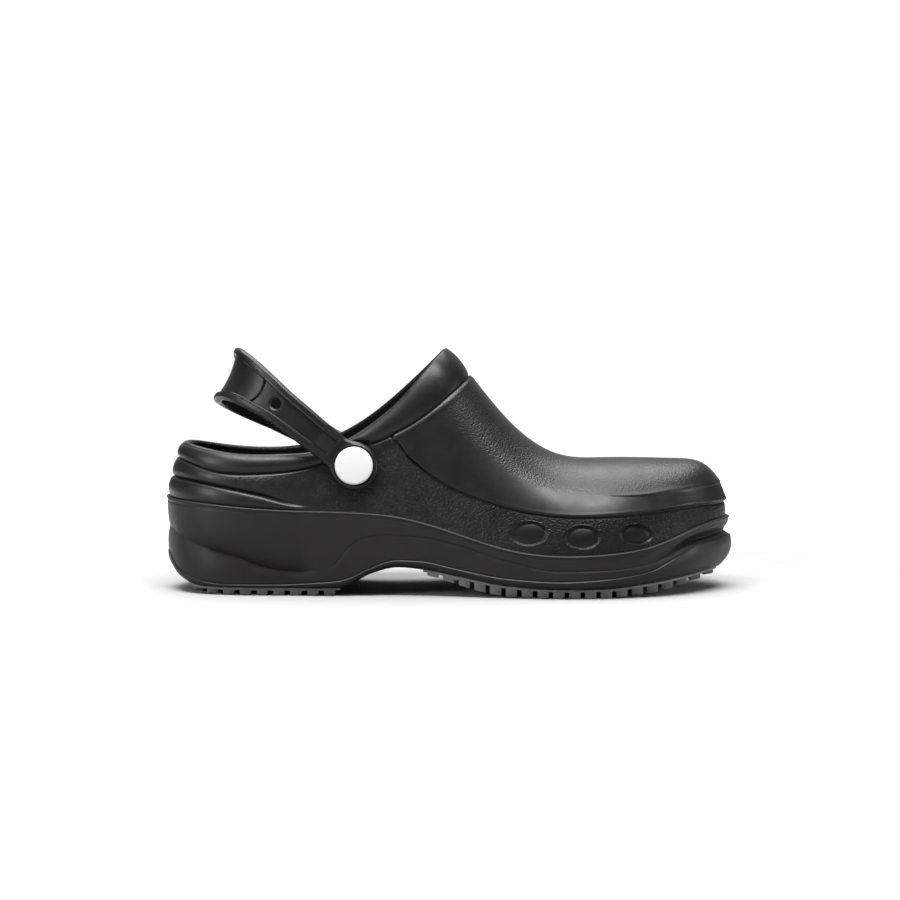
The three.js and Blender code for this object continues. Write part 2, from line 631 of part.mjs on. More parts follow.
/** Side edge of the sole's underside at a place along it. */
function edgeAt(x, side) {
  const edge = side < 0 ? outerEdge : innerEdge;
  const k = clamp(edge.findIndex((p) => p.x <= x), 1, edge.length - 1);
  const f = clamp((edge[k - 1].x - x) / Math.max(edge[k - 1].x - edge[k].x, TINY), 0, 1);
  return lerp(edge[k - 1].y, edge[k].y, f);
}

/** Six-sided block between two places along the shoe, with its own width and heights at each. */
function block(ends) {
  const corners = ends.flatMap(({ x, from, to, low, high }) => [
    [x, from, low], [x, to, low], [x, to, high], [x, from, high],
  ]);
  const faces = [];
  for (let k = 0; k < ends.length - 1; k++) {
    for (let s = 0; s < 4; s++) {
      const a = 4 * k + s;
      const b = 4 * k + ((s + 1) % 4);
      faces.push(a, b + 4, a + 4, a, b, b + 4);
    }
  }
  const end = 4 * (ends.length - 1);
  faces.push(0, 2, 1, 0, 3, 2, end, end + 1, end + 2, end, end + 2, end + 3);
  const geometry = new THREE.BufferGeometry();
  geometry.setAttribute('position', new THREE.Float32BufferAttribute(corners.flat(), 3));
  geometry.setIndex(faces);
  return geometry;
}

/** Rubber tread: a sheet under the sole with rows of lugs. */
function tread({ from, to }) {
  const start = heelX + from * upperLength;
  const end = heelX + to * upperLength;
  const inner = (x, side) => edgeAt(x, side) - side * TREAD_MARGIN;
  const rows = 18;
  const ends = Array.from({ length: rows + 1 }, (_, k) => {
    const x = start + ((end - start) * (1 - Math.cos((Math.PI * k) / rows))) / 2;
    const high = last.base(x) - GAP;
    return { x, from: inner(x, -1), to: inner(x, 1), low: high - PLATE, high };
  });
  const pieces = [solid(block(ends))];
  const lugRows = Math.floor((end - start) / LUG_PITCH);
  const pitch = (end - start) / lugRows;
  const channel = LUG_PITCH * (1 - LUG_SHARE);
  for (let row = 0; row < lugRows; row++) {
    const x = start + (row + 0.5) * pitch;
    const near = x - (pitch * LUG_SHARE) / 2;
    const far = x + (pitch * LUG_SHARE) / 2;
    const left = Math.max(inner(near, -1), inner(far, -1));
    const right = Math.min(inner(near, 1), inner(far, 1));
    const count = Math.max(Math.floor((right - left) / LUG_PITCH), 1);
    const cell = (right - left + channel) / count;
    for (let k = 0; k < count; k++) {
      const y = left + k * cell;
      pieces.push(solid(block([near, far].map((place) => {
        const high = last.base(place) - GAP - PLATE + LUG_ROOT;
        return { x: place, from: y, to: y + cell - channel, low: ground(place), high };
      }))));
    }
  }
  return geometryOf(wasm.Manifold.union(pieces));
}

// The heel strap and its rivets
const strapHalf = line(STRAP_WIDTHS, 'half', STRAP_REACH, (way) => way);

/** Middle line of the strap and its frame, from the outer pivot (-1) over the heel (0) to the inner one (1). */
function strapFrame(t) {
  const angle = (Math.PI / 2) * (1 - Math.abs(t)) ** (BOW_SQUARENESS / 2);
  const reach = STRAP_REACH * Math.sin(angle) ** (2 / BOW_SQUARENESS);
  const spread = Math.cos(angle) ** (2 / BOW_SQUARENESS) * Math.sign(t);
  const pivot = pivots[t < 0 ? 0 : 1];
  const seat = pivot.point.clone().addScaledVector(pivot.axis, BOSS_STAND + STRAP_THICKNESS / 2);
  const other = pivots[t < 0 ? 1 : 0];
  const otherSeat = other.point.clone().addScaledVector(other.axis, BOSS_STAND + STRAP_THICKNESS / 2);
  const centre = seat.clone().add(otherSeat).multiplyScalar(0.5);
  const swing = degToRad(lerp(SWING_OUTER, SWING_INNER, (1 + Math.sign(t) * Math.abs(spread)) / 2));
  const back = new THREE.Vector3(-Math.cos(swing), 0, Math.sin(swing));
  const half = Math.abs(seat.y - centre.y) + BOW_SPREAD * smoothstep(reach, BOSS_RADIUS / 2, BOSS_RADIUS * 2);
  const point = new THREE.Vector3(centre.x, centre.y + spread * half, centre.z).addScaledVector(back, reach);
  const away = point.clone().sub(seat);
  const flat = 1 - smoothstep(away.length(), BOSS_RADIUS, BOSS_RADIUS * 2);
  point.addScaledVector(pivot.axis, -away.dot(pivot.axis) * flat);
  return { point, back, swing, pivot };
}

/** Strap as a band swept along its bow, with beads on both edges, a boss at each end and an eyelet. */
function strap() {
  const frames = Array.from({ length: STRAP_STEPS + 1 }, (_, k) => strapFrame(-1 + (2 * k) / STRAP_STEPS));
  const loops = frames.map((frame, k) => {
    const before = frames[Math.max(k - 1, 0)].point;
    const after = frames[Math.min(k + 1, STRAP_STEPS)].point;
    const ahead = after.clone().sub(before).normalize();
    const t = Math.abs(-1 + (2 * k) / STRAP_STEPS);
    const lean = smoothstep(t, 0.55, 1);
    const tilt = lerp(degToRad(HEEL_LEAN), frame.swing, smoothstep(t, 0.1, 0.75));
    const wide = new THREE.Vector3(Math.sin(tilt), 0, Math.cos(tilt));
    const leaning = wide.clone().addScaledVector(frame.pivot.axis, -wide.dot(frame.pivot.axis)).normalize();
    wide.lerp(leaning, lean).addScaledVector(ahead, -wide.dot(ahead)).normalize();
    const out = new THREE.Vector3().crossVectors(wide, ahead).normalize();
    const half = strapHalf(1 - t);
    const thick = STRAP_THICKNESS / 2;
    const recess = STRAP_RECESS * (1 - smoothstep(t, RECESS_END.from, RECESS_END.to));
    const web = half - STRAP_BEAD;
    const section = [
      [-web, thick], [BEAD_SLOPE - web, thick - recess], [web - BEAD_SLOPE, thick - recess], [web, thick],
      [half, thick], [half, -thick], [-half, -thick], [-half, thick],
    ];
    return section.map(([w, n]) => frame.point.clone().addScaledVector(wide, w).addScaledVector(out, n));
  });
  let body = solid(endCapped(loops));
  const boss = rod(BOSS_RADIUS, BOSS_STAND, BOSS_STAND + STRAP_THICKNESS);
  for (const pivot of pivots) body = body.add(solid(turned(boss, pivot, 24)));
  for (const pivot of pivots) {
    body = body.subtract(solid(turned(rod(SHANK_RADIUS + GAP, 0, STRAP_THICKNESS * 3), pivot)));
  }
  return geometryOf(body.subtract(eyelet(frames)));
}

/** Skin over loops of eight points, closed at both ends round the recess. */
function endCapped(loops) {
  const count = loops[0].length;
  const geometry = skin(loops, false);
  const keep = (loops.length - 1) * count * 6;
  const order = Array.from(geometry.index.array).slice(0, keep);
  const cap = [[0, 6, 7], [0, 1, 6], [1, 5, 6], [1, 2, 5], [2, 3, 5], [3, 4, 5]];
  const end = (loops.length - 1) * count;
  cap.forEach(([a, b, c]) => {
    order.push(a, c, b);
    order.push(end + a, end + b, end + c);
  });
  geometry.setIndex(order);
  return geometry;
}

/** Cutter for the small eyelet in the outer arm. */
function eyelet(frames) {
  const outerArm = frames.filter((frame) => frame.pivot.side < 0);
  const miss = (frame) => Math.abs(frame.point.distanceTo(pivots[0].point) - EYELET_REACH);
  const frame = outerArm.reduce((best, one) => (miss(one) < miss(best) ? one : best));
  const seat = { point: frame.point, axis: new THREE.Vector3(0, -1, 0) };
  return solid(turned(rod(EYELET_RADIUS, -STRAP_THICKNESS * 3, STRAP_THICKNESS * 3), seat, 14));
}

/** Rivet shank with its round head inside the wall. */
function rivet(pivot) {
  const inside = -WALL - BOSS_STAND;
  const top = BOSS_STAND + STRAP_THICKNESS;
  return turned([
    [0, inside - HEAD_THICKNESS], [HEAD_RADIUS - HEAD_EDGE, inside - HEAD_THICKNESS],
    [HEAD_RADIUS, inside - HEAD_THICKNESS / 3], [HEAD_RADIUS, inside],
    [SHANK_RADIUS, inside], [SHANK_RADIUS, top], [0, top],
  ], pivot);
}

/** Pale button over the rivet. */
function cap(pivot) {
  const low = BOSS_STAND + STRAP_THICKNESS + GAP;
  return turned(CAP_PROFILE.map(([r, h]) => [r * CAP_RADIUS, low + h * CAP_THICKNESS]), pivot);
}

// Finishes
const foam = new THREE.MeshStandardMaterial({ color: 0x1b1b1c, roughness: 0.6, metalness: 0 });
const soleFoam = new THREE.MeshStandardMaterial({ color: 0x1d1c1b, roughness: 0.65, metalness: 0 });
const rubber = new THREE.MeshStandardMaterial({ color: 0x4a4a4a, roughness: 0.8, metalness: 0 });
const insoleFoam = new THREE.MeshStandardMaterial({ color: 0x161617, roughness: 0.9, metalness: 0 });
const strapFoam = new THREE.MeshStandardMaterial({ color: 0x19191a, roughness: 0.5, metalness: 0 });
const shankPlastic = new THREE.MeshStandardMaterial({ color: 0x121212, roughness: 0.4, metalness: 0 });
const capPlastic = new THREE.MeshStandardMaterial({ color: 0xeeeeee, roughness: 0.35, metalness: 0 });

const clog = new THREE.Group();

function add(name, geometry, material) {
  const mesh = new THREE.Mesh(geometry, material);
  mesh.name = name;
  clog.add(mesh);
}

add('upper', upper(), foam);
add('sole', sole(), soleFoam);
add('insole', insole(), insoleFoam);
add('heel_tread', tread(HEEL_TREAD), rubber);
add('forefoot_tread', tread(FORE_TREAD), rubber);
add('heel_strap', strap(), strapFoam);
for (const pivot of pivots) {
  const where = pivot.side < 0 ? 'outer' : 'inner';
  add(`rivet_${where}`, rivet(pivot), shankPlastic);
  add(`cap_${where}`, cap(pivot), capPlastic);
}

// The origin is the middle of the clog's box, on the floor
const extent = new THREE.Box3().setFromObject(clog);
const middle = extent.getCenter(new THREE.Vector3());
clog.position.set(-middle.x, -middle.y, -extent.min.z);

export default clog;
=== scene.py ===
"""Chef clog for the right foot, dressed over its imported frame.

Shapes are worked out in millimetres: x runs from the heel to the toe, -y is the outer side and z is up.
"""
from __future__ import annotations

import logging
import math
from collections.abc import Callable, Sequence
from dataclasses import dataclass, field
from enum import Enum

import bmesh
import bpy
import numpy as np
from mathutils import Matrix, Vector


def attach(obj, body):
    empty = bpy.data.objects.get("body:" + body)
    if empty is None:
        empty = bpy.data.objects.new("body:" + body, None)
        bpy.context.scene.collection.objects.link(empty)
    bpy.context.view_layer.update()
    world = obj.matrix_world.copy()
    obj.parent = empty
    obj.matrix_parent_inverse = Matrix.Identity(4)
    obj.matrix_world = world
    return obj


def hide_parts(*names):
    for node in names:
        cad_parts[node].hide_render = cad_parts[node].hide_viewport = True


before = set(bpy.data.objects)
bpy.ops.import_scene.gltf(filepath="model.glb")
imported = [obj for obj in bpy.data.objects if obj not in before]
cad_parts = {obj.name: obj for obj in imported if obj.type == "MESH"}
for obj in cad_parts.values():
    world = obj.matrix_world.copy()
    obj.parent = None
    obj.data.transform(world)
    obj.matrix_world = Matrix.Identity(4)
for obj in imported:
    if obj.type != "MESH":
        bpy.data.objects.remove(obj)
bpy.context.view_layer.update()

log = logging.getLogger("clog")
Array = np.ndarray
Socket = bpy.types.NodeSocket
ORIGIN = np.array([141.26, -1.684, 0.0])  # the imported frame's origin, as the shapes count it
MM = 0.001
TINY = 1e-6

# Sizes that several pieces share

WALL = 3.6  # the upper's wall
STRAP_THICKNESS = 3.8
BOSS_RADIUS = 11.5
BOSS_STAND = 1.3  # how far the strap's bosses stand off the wall
PIVOT_AT = 0.336  # share of the length
PIVOT_RISE = 21.8  # over the sole line
HEEL_TREAD = (0.036, 0.31)  # shares of the length
FOREFOOT_TREAD = (0.455, 0.981)


def smoothstep(x: Array | float, low: float, high: float) -> Array:
    """Smooth rise from 0 at low to 1 at high."""
    t = np.clip((np.asarray(x, float) - low) / (high - low), 0.0, 1.0)
    return t * t * (3.0 - 2.0 * t)


def bell(x: Array, width: float | Array) -> Array:
    """Bump of height 1 round zero."""
    return np.exp(-((x / width) ** 2))


def lerp(a: Array | float, b: Array | float, f: Array | float) -> Array:
    """Straight blend from a to b."""
    return a + (b - a) * f


def unit(v: Array) -> Array:
    """Rows scaled to length 1."""
    return v / np.maximum(np.linalg.norm(v, axis=-1, keepdims=True), TINY)


def crowded(count: int) -> Array:
    """Places from 0 to 1 that lie closest together at both ends."""
    return 0.5 - 0.5 * np.cos(np.pi * np.arange(count + 1) / count)


# The last

SECTIONS = {
    "columns": ("at", "half", "middle", "sole_line", "arch", "pinch"),
    "rows": (
        (0.0, 0.0, 0.0, 1.02, 0.0, 0.2),
        (0.009, 0.23, 0.0, 1.0, 0.151, 0.2),
        (0.038, 0.467, -0.006, 0.989, 0.386, 0.25),
        (0.095, 0.65, -0.018, 0.965, 0.614, 0.3),
        (0.174, 0.723, -0.024, 0.928, 0.83, 0.35),
        (0.263, 0.72, -0.047, 0.907, 1.034, 0.4),
        (0.353, 0.707, -0.069, 0.889, 1.165, 0.42),
        (0.432, 0.723, -0.084, 0.826, 1.125, 0.4),
        (0.514, 0.805, -0.069, 0.683, 0.931, 0.3),
        (0.604, 0.922, -0.049, 0.522, 0.668, 0.18),
        (0.694, 0.996, -0.037, 0.461, 0.505, 0.06),
        (0.772, 0.994, -0.024, 0.478, 0.474, 0.0),
        (0.848, 0.898, 0.014, 0.543, 0.439, 0.0),
        (0.905, 0.751, 0.063, 0.657, 0.374, 0.0),
        (0.952, 0.535, 0.11, 0.743, 0.308, 0.0),
        (0.984, 0.298, 0.141, 0.774, 0.191, 0.0),
        (1.0, 0.0, 0.155, 0.78, 0.0, 0.0),
    ),
}

COLLAR_LINES = {
    "columns": ("at", "collar", "rim"),
    "rows": (
        (0.009, 0.318, 0.236),
        (0.038, 0.303, 0.215),
        (0.095, 0.282, 0.176),
        (0.174, 0.284, 0.19),
        (0.263, 0.332, 0.24),
        (0.353, 0.481, 0.359),
        (0.432, 0.725, 0.507),
        (0.514, 1.047, 0.782),
        (0.604, 1.375, 1.159),
    ),
}

WALL_LINE = {
    "columns": ("at", "rise"),
    "rows": (
        (0.0, 0.12), (0.1, 0.1), (0.17, 0.075), (0.25, 0.025), (0.3, 0.075), (0.35, 0.23), (0.405, 0.415),
        (0.43, 0.34), (0.47, 0.27), (0.52, 0.23), (0.6, 0.22), (0.68, 0.21), (0.76, 0.2), (0.84, 0.185),
        (0.88, 0.165), (0.92, 0.13), (1.0, 0.085),
    ),
}

CREASE_LINE = {
    "columns": ("at", "rise"),
    "rows": (
        (0.0, 0.155), (0.095, 0.125), (0.174, 0.11), (0.263, 0.09), (0.353, 0.28), (0.4, 0.46),
        (0.45, 0.52), (0.5, 0.55), (0.55, 0.49), (0.6, 0.41), (0.66, 0.345), (0.715, 0.314),
        (0.758, 0.308), (0.839, 0.277), (0.879, 0.255), (0.921, 0.216), (0.987, 0.189), (1.0, 0.187),
    ),
}

SOLE_LINES = {
    "columns": ("at", "lip", "base", "floor", "tuck"),
    "rows": (
        (0.0, 0.43, 0.124, 0.88, 0.17),
        (0.02, 0.29, 0.098, 0.878, 0.14),
        (0.038, 0.213, 0.08, 0.876, 0.11),
        (0.07, 0.143, 0.075, 0.872, 0.08),
        (0.11, 0.12, 0.075, 0.862, 0.065),
        (0.2, 0.122, 0.075, 0.836, 0.065),
        (0.24, 0.133, 0.075, 0.82, 0.065),
        (0.267, 0.146, 0.075, 0.81, 0.065),
        (0.306, 0.165, 0.08, 0.793, 0.07),
        (0.325, 0.196, 0.105, 0.785, 0.08),
        (0.36, 0.295, 0.225, 0.765, 0.1),
        (0.41, 0.39, 0.3, 0.717, 0.11),
        (0.455, 0.38, 0.278, 0.64, 0.1),
        (0.51, 0.313, 0.217, 0.538, 0.085),
        (0.6, 0.216, 0.124, 0.413, 0.07),
        (0.69, 0.187, 0.092, 0.365, 0.065),
        (0.77, 0.213, 0.098, 0.362, 0.065),
        (0.845, 0.28, 0.137, 0.38, 0.065),
        (0.885, 0.39, 0.165, 0.398, 0.065),
        (0.93, 0.515, 0.2, 0.42, 0.065),
        (1.0, 0.567, 0.237, 0.456, 0.075),
    ),
}

WAVE_LINE = {
    "columns": ("at", "rise"),
    "rows": (
        (0.0, 0.69), (0.02, 0.65), (0.05, 0.55), (0.09, 0.47), (0.14, 0.39), (0.17, 0.32), (0.2, 0.28),
        (0.24, 0.26), (0.28, 0.29), (0.3, 0.33), (0.32, 0.49), (0.35, 0.62), (0.39, 0.655), (0.455, 0.63),
        (0.51, 0.565), (0.6, 0.4), (0.69, 0.3), (0.77, 0.31), (0.845, 0.36), (0.885, 0.445), (0.93, 0.565),
        (1.0, 0.615),
    ),
}


def column(table: dict, name: str) -> Array:
    """One named column of a table."""
    return np.array([row[table["columns"].index(name)] for row in table["rows"]], float)


def station(at: Array) -> Array:
    """Place along the shoe, counted so that round ends stay round."""
    return np.arccos(1.0 - 2.0 * np.clip(at, 0.0, 1.0)) / np.pi


class Spline:
    """Natural cubic spline through one column of a table, over its stations."""

    def __init__(self, table: dict, name: str) -> None:
        """Works out the bend at each row.

        Args:
            table: Table with a column of places.
            name: Column that the spline follows.
        """
        self.t = station(column(table, "at"))
        self.v = column(table, name)
        count = len(self.t)
        step = np.diff(self.t)
        slope = np.diff(self.v) / step
        system = np.eye(count)
        right = np.zeros(count)
        for i in range(1, count - 1):
            system[i, i - 1:i + 2] = step[i - 1], 2.0 * (step[i - 1] + step[i]), step[i]
            right[i] = 6.0 * (slope[i] - slope[i - 1])
        self.bend = np.linalg.solve(system, right)

    def __call__(self, at: Array) -> Array:
        """Value at a share of the length.

        Args:
            at: Shares of the length.

        Returns:
            The column's values there.
        """
        s = np.clip(station(at), self.t[0], self.t[-1])
        i = np.clip(np.searchsorted(self.t, s, side="right") - 1, 0, len(self.t) - 2)
        step = self.t[i + 1] - self.t[i]
        a = (self.t[i + 1] - s) / step
        b = 1.0 - a
        sag = ((a ** 3 - a) * self.bend[i] + (b ** 3 - b) * self.bend[i + 1]) * step ** 2 / 6.0
        return a * self.v[i] + b * self.v[i + 1] + sag


class MouldLine:
    """Curve through one column of a table that never swings past its rows."""

    def __init__(self, table: dict, name: str) -> None:
        """Works out the slope at each row.

        Args:
            table: Table with a column of places.
            name: Column that the line follows.
        """
        self.t = column(table, "at")
        self.v = column(table, name)
        secant = np.diff(self.v) / np.diff(self.t)
        self.slope = np.zeros(len(self.t))
        for i in range(1, len(self.t) - 1):
            before, after = secant[i - 1], secant[i]
            if before * after > 0.0:
                self.slope[i] = 2.0 * before * after / (before + after)

    def __call__(self, at: Array) -> Array:
        """Value at a share of the length.

        Args:
            at: Shares of the length.

        Returns:
            The column's values there.
        """
        s = np.clip(at, self.t[0], self.t[-1])
        i = np.clip(np.searchsorted(self.t, s) - 1, 0, len(self.t) - 2)
        step = self.t[i + 1] - self.t[i]
        f = (s - self.t[i]) / step
        rise = f * f * (3.0 - 2.0 * f)
        swing = self.slope[i] * (f ** 3 - 2.0 * f * f + f) + self.slope[i + 1] * (f ** 3 - f * f)
        return self.v[i] + (self.v[i + 1] - self.v[i]) * rise + step * swing


@dataclass(frozen=True)
class Seat:
    """Point of the wall with its forward, upward and outward directions."""

    point: Array
    forward: Array
    upward: Array
    out: Array


@dataclass
class Last:
    """Form of the foot, and the lines moulded round it."""

    length: float = 282.0
    ball_width: float = 105.0
    sole_rise: float = 46.0
    instep_rise: float = 88.0
    flange: float = 1.5
    bluntness: float = 0.4
    collar_pull: float = 1.8
    lines: dict[str, Callable[[Array], Array]] = field(default_factory=dict)

    def __post_init__(self) -> None:
        """Makes each line ready, in millimetres."""
        half = self.ball_width / 2.0 - self.flange
        plan = {"half": half, "middle": half, "pinch": 1.0}
        plan |= {"sole_line": self.sole_rise, "arch": self.instep_rise}
        for name, scale in plan.items():
            self.lines[name] = self.scaled(Spline(SECTIONS, name), scale)
        for name in ("collar", "rim"):
            self.lines[name] = self.scaled(Spline(COLLAR_LINES, name), self.instep_rise)
        self.lines["wall"] = self.scaled(MouldLine(WALL_LINE, "rise"), self.instep_rise)
        self.lines["crease"] = self.scaled(MouldLine(CREASE_LINE, "rise"), self.instep_rise)
        self.lines["wave"] = self.scaled(MouldLine(WAVE_LINE, "rise"), self.sole_rise)
        for name in ("lip", "base", "floor", "tuck"):
            self.lines[name] = self.scaled(MouldLine(SOLE_LINES, name), self.sole_rise)
        self.span = self.length - 2.0 * self.flange

    def scaled(self, shape: Callable[[Array], Array], scale: float) -> Callable[[Array], Array]:
        """Line over x in millimetres, from one over shares of the length."""
        return lambda x: shape(self.share(x)) * scale

    def share(self, x: Array) -> Array:
        """Share of the length at a place."""
        return np.clip((np.asarray(x, float) - self.flange) / (self.length - 2.0 * self.flange), 0.0, 1.0)

    def arch_width(self, x: Array, up: Array) -> Array:
        """Share of the half width that an arch keeps at a share of its height."""
        u = np.clip(up, 0.0, 1.0)
        return (1.0 - u * u) ** self.bluntness * (1.0 - self.lines["pinch"](x) * u * (1.0 - u))

    def over(self, x: Array, y: Array) -> Array:
        """Points of the last over places in plan.

        Args:
            x: Places along the shoe, in millimetres.
            y: Places across it.

        Returns:
            Points, with x, y and z in the last axis.
        """
        across = np.abs(y - self.lines["middle"](x)) / np.maximum(self.lines["half"](x), 1e-4)
        across = np.clip(across, 0.0, 1.0)
        pinch = self.lines["pinch"](x)
        low = np.zeros_like(across)
        high = np.ones_like(across)
        for _ in range(34):
            middle = (low + high) / 2.0
            wide = (1.0 - middle ** 2) ** self.bluntness * (1.0 - pinch * middle * (1.0 - middle))
            above = wide > across
            low = np.where(above, middle, low)
            high = np.where(above, high, middle)
        z = self.lines["sole_line"](x) + self.lines["arch"](x) * (low + high) / 2.0
        return np.stack([x, y, z], axis=-1)

    def at(self, x: Array, rise: Array, side: Array) -> Array:
        """Points of the last at heights above the sole line.

        Args:
            x: Places along the shoe, in millimetres.
            rise: Heights above the sole line.
            side: -1 on the outer side, 1 on the inner one.

        Returns:
            Points, with x, y and z in the last axis.
        """
        arch = np.maximum(self.lines["arch"](x), 1e-4)
        y = self.lines["middle"](x) + side * self.lines["half"](x) * self.arch_width(x, rise / arch)
        return np.stack([x, y, self.lines["sole_line"](x) + np.minimum(rise, arch)], axis=-1)

    def ridge_meets(self, line: str, inside: float, outside: float) -> float:
        """Place on the centre line where a line round the shoe meets the ridge.

        Args:
            line: Name of the line.
            inside: Share of the length where the ridge is above the line.
            outside: Share of the length where it is below.

        Returns:
            The place, in millimetres.
        """
        near, far = (self.flange + share * self.span for share in (inside, outside))
        for _ in range(50):
            middle = (near + far) / 2.0
            if self.lines["arch"](middle) > self.lines[line](middle):
                near = middle
            else:
                far = middle
        return (near + far) / 2.0

    def loop(self, line: str, way: Array, side: Array) -> Array:
        """Points of the collar or the rim, from the toe end (0) to the heel end (1).

        Args:
            line: Name of the line.
            way: Way along it, 0 to 1.
            side: -1 on the outer side, 1 on the inner one.

        Returns:
            Points, with x, y and z in the last axis.
        """
        front = self.ridge_meets(line, 0.35, 0.65)
        back = self.ridge_meets(line, 0.12, 0.001)
        x = back + (front - back) * (1.0 + np.cos(np.pi * way ** self.collar_pull)) / 2.0
        return self.at(x, self.lines[line](x), side)

    def foot(self, turn: Array) -> Array:
        """Points of the upper's outline at the sole line.

        Args:
            turn: Turns once round the shoe, 0 to 1 from the toe.

        Returns:
            Points, with x, y and z in the last axis.
        """
        way, side = way_and_side(turn)
        x = self.flange + self.span * (1.0 + np.cos(np.pi * way)) / 2.0
        y = self.lines["middle"](x) + side * self.lines["half"](x)
        return np.stack([x, y, self.lines["sole_line"](x)], axis=-1)

    def seat(self, x: float, rise: float, side: int) -> Seat:
        """Seat on the wall.

        Args:
            x: Place along the shoe, in millimetres.
            rise: Height above the sole line.
            side: -1 on the outer side, 1 on the inner one.

        Returns:
            The seat.
        """
        point, ahead, behind = (self.at(np.array(x + d), np.array(rise), side) for d in (0.0, 0.5, -0.5))
        above, below = (self.at(np.array(x), np.array(rise + d), side) for d in (0.5, -0.5))
        out = unit(np.cross(ahead - behind, above - below) * -side)
        forward = unit(np.array([1.0, 0.0, 0.0]) - out * out[0])
        upward = np.cross(forward, out) * -side
        return Seat(point, forward, upward, out)


def way_and_side(turn: Array) -> tuple[Array, Array]:
    """Way from the toe (0) to the heel (1), and the side.

    Args:
        turn: Turns once round the shoe, 0 to 1 from the toe.

    Returns:
        The ways, and -1 on the outer side or 1 on the inner one.
    """
    turn = np.mod(turn, 1.0)
    outer = turn <= 0.5
    return np.where(outer, 2.0 * turn, 2.0 * (1.0 - turn)), np.where(outer, -1.0, 1.0)


# Finishes


class Nodes:
    """Small helper that wires a material's nodes."""

    def __init__(self, name: str) -> None:
        """Starts a material with one shader.

        Args:
            name: Name of the material.
        """
        self.material = bpy.data.materials.new(name)
        self.material.use_nodes = True
        self.tree = self.material.node_tree
        self.shader = self.tree.nodes["Principled BSDF"]

    def add(self, kind: str, **values: object) -> bpy.types.Node:
        """Adds a node and sets its properties.

        Args:
            kind: Node's type.
            values: Its properties.

        Returns:
            The node.
        """
        node = self.tree.nodes.new(kind)
        for key, value in values.items():
            setattr(node, key, value)
        return node

    def link(self, source: Socket, target: Socket) -> None:
        """Joins two sockets."""
        self.tree.links.new(source, target)

    def place(self, scale: Sequence[float] = (1.0, 1.0, 1.0)) -> Socket:
        """Object coordinates, stretched.

        Args:
            scale: Stretch along each axis.

        Returns:
            The coordinates.
        """
        coordinate = self.add("ShaderNodeTexCoord")
        mapping = self.add("ShaderNodeMapping")
        mapping.inputs["Scale"].default_value = scale
        self.link(coordinate.outputs["Object"], mapping.inputs["Vector"])
        return mapping.outputs["Vector"]

    def noise(self, where: Socket, scale: float, detail: float, rough: float) -> Socket:
        """Noise over the piece.

        Args:
            where: Coordinates.
            scale: Cycles per metre.
            detail: Finer layers on top.
            rough: Strength of each finer layer.

        Returns:
            The noise.
        """
        node = self.add("ShaderNodeTexNoise")
        node.inputs["Scale"].default_value = scale
        node.inputs["Detail"].default_value = detail
        node.inputs["Roughness"].default_value = rough
        self.link(where, node.inputs["Vector"])
        return node.outputs["Fac"]

    def pebbles(self, where: Socket, scale: float) -> Socket:
        """Distance to the nearest pebble's middle.

        Args:
            where: Coordinates.
            scale: Pebbles per metre.

        Returns:
            The distance.
        """
        node = self.add("ShaderNodeTexVoronoi", feature="SMOOTH_F1")
        node.inputs["Scale"].default_value = scale
        node.inputs["Smoothness"].default_value = 0.6
        self.link(where, node.inputs["Vector"])
        return node.outputs["Distance"]

    def between(self, value: Socket, low: float, high: float, to: tuple[float, float]) -> Socket:
        """Value carried from one range to another.

        Args:
            value: The value.
            low: Start of its range.
            high: End of its range.
            to: Start and end of the new range.

        Returns:
            The new value.
        """
        node = self.add("ShaderNodeMapRange")
        node.inputs["From Min"].default_value = low
        node.inputs["From Max"].default_value = high
        node.inputs["To Min"].default_value = to[0]
        node.inputs["To Max"].default_value = to[1]
        self.link(value, node.inputs["Value"])
        return node.outputs["Result"]

    def maths(self, how: str, a: Socket, b: Socket | float) -> Socket:
        """Result of one sum on two values.

        Args:
            how: Name of the sum.
            a: First value.
            b: Second value, or a plain number.

        Returns:
            The result.
        """
        node = self.add("ShaderNodeMath", operation=how)
        self.link(a, node.inputs[0])
        if isinstance(b, float):
            node.inputs[1].default_value = b
        else:
            self.link(b, node.inputs[1])
        return node.outputs["Value"]

    def tint(self, value: Socket, dark: Sequence[float], light: Sequence[float]) -> None:
        """Base colour that runs from dark to light with a value.

        Args:
            value: Value from 0 to 1.
            dark: Colour at 0.
            light: Colour at 1.
        """
        ramp = self.add("ShaderNodeValToRGB")
        ramp.color_ramp.elements[0].color = (*dark, 1.0)
        ramp.color_ramp.elements[1].color = (*light, 1.0)
        self.link(value, ramp.inputs["Fac"])
        self.link(ramp.outputs["Color"], self.shader.inputs["Base Color"])

    def bump(
        self, height: Socket, depth: float, below: bpy.types.Node | None = None,
    ) -> bpy.types.Node:
        """Relief, over an earlier one if it is given.

        Args:
            height: Heights from 0 to 1.
            depth: What a height of 1 stands for, in metres.
            below: Node of the earlier relief.

        Returns:
            The node.
        """
        node = self.add("ShaderNodeBump")
        node.inputs["Strength"].default_value = 1.0
        node.inputs["Distance"].default_value = depth
        self.link(height, node.inputs["Height"])
        if below is not None:
            self.link(below.outputs["Normal"], node.inputs["Normal"])
        self.link(node.outputs["Normal"], self.shader.inputs["Normal"])
        return node


class Grain(Enum):
    """Whether a foam shows the etched parts of its mould, stored on the mesh."""

    MASKED = "grain"
    NOWHERE = ""


DULL_AND_SHADE = "dull_and_shade"  # mesh attribute: 1 where the specular is lowered, for the matte lining and as painted shade in the sole's trough and toe groove, under the vamp's edge and on the collar's front
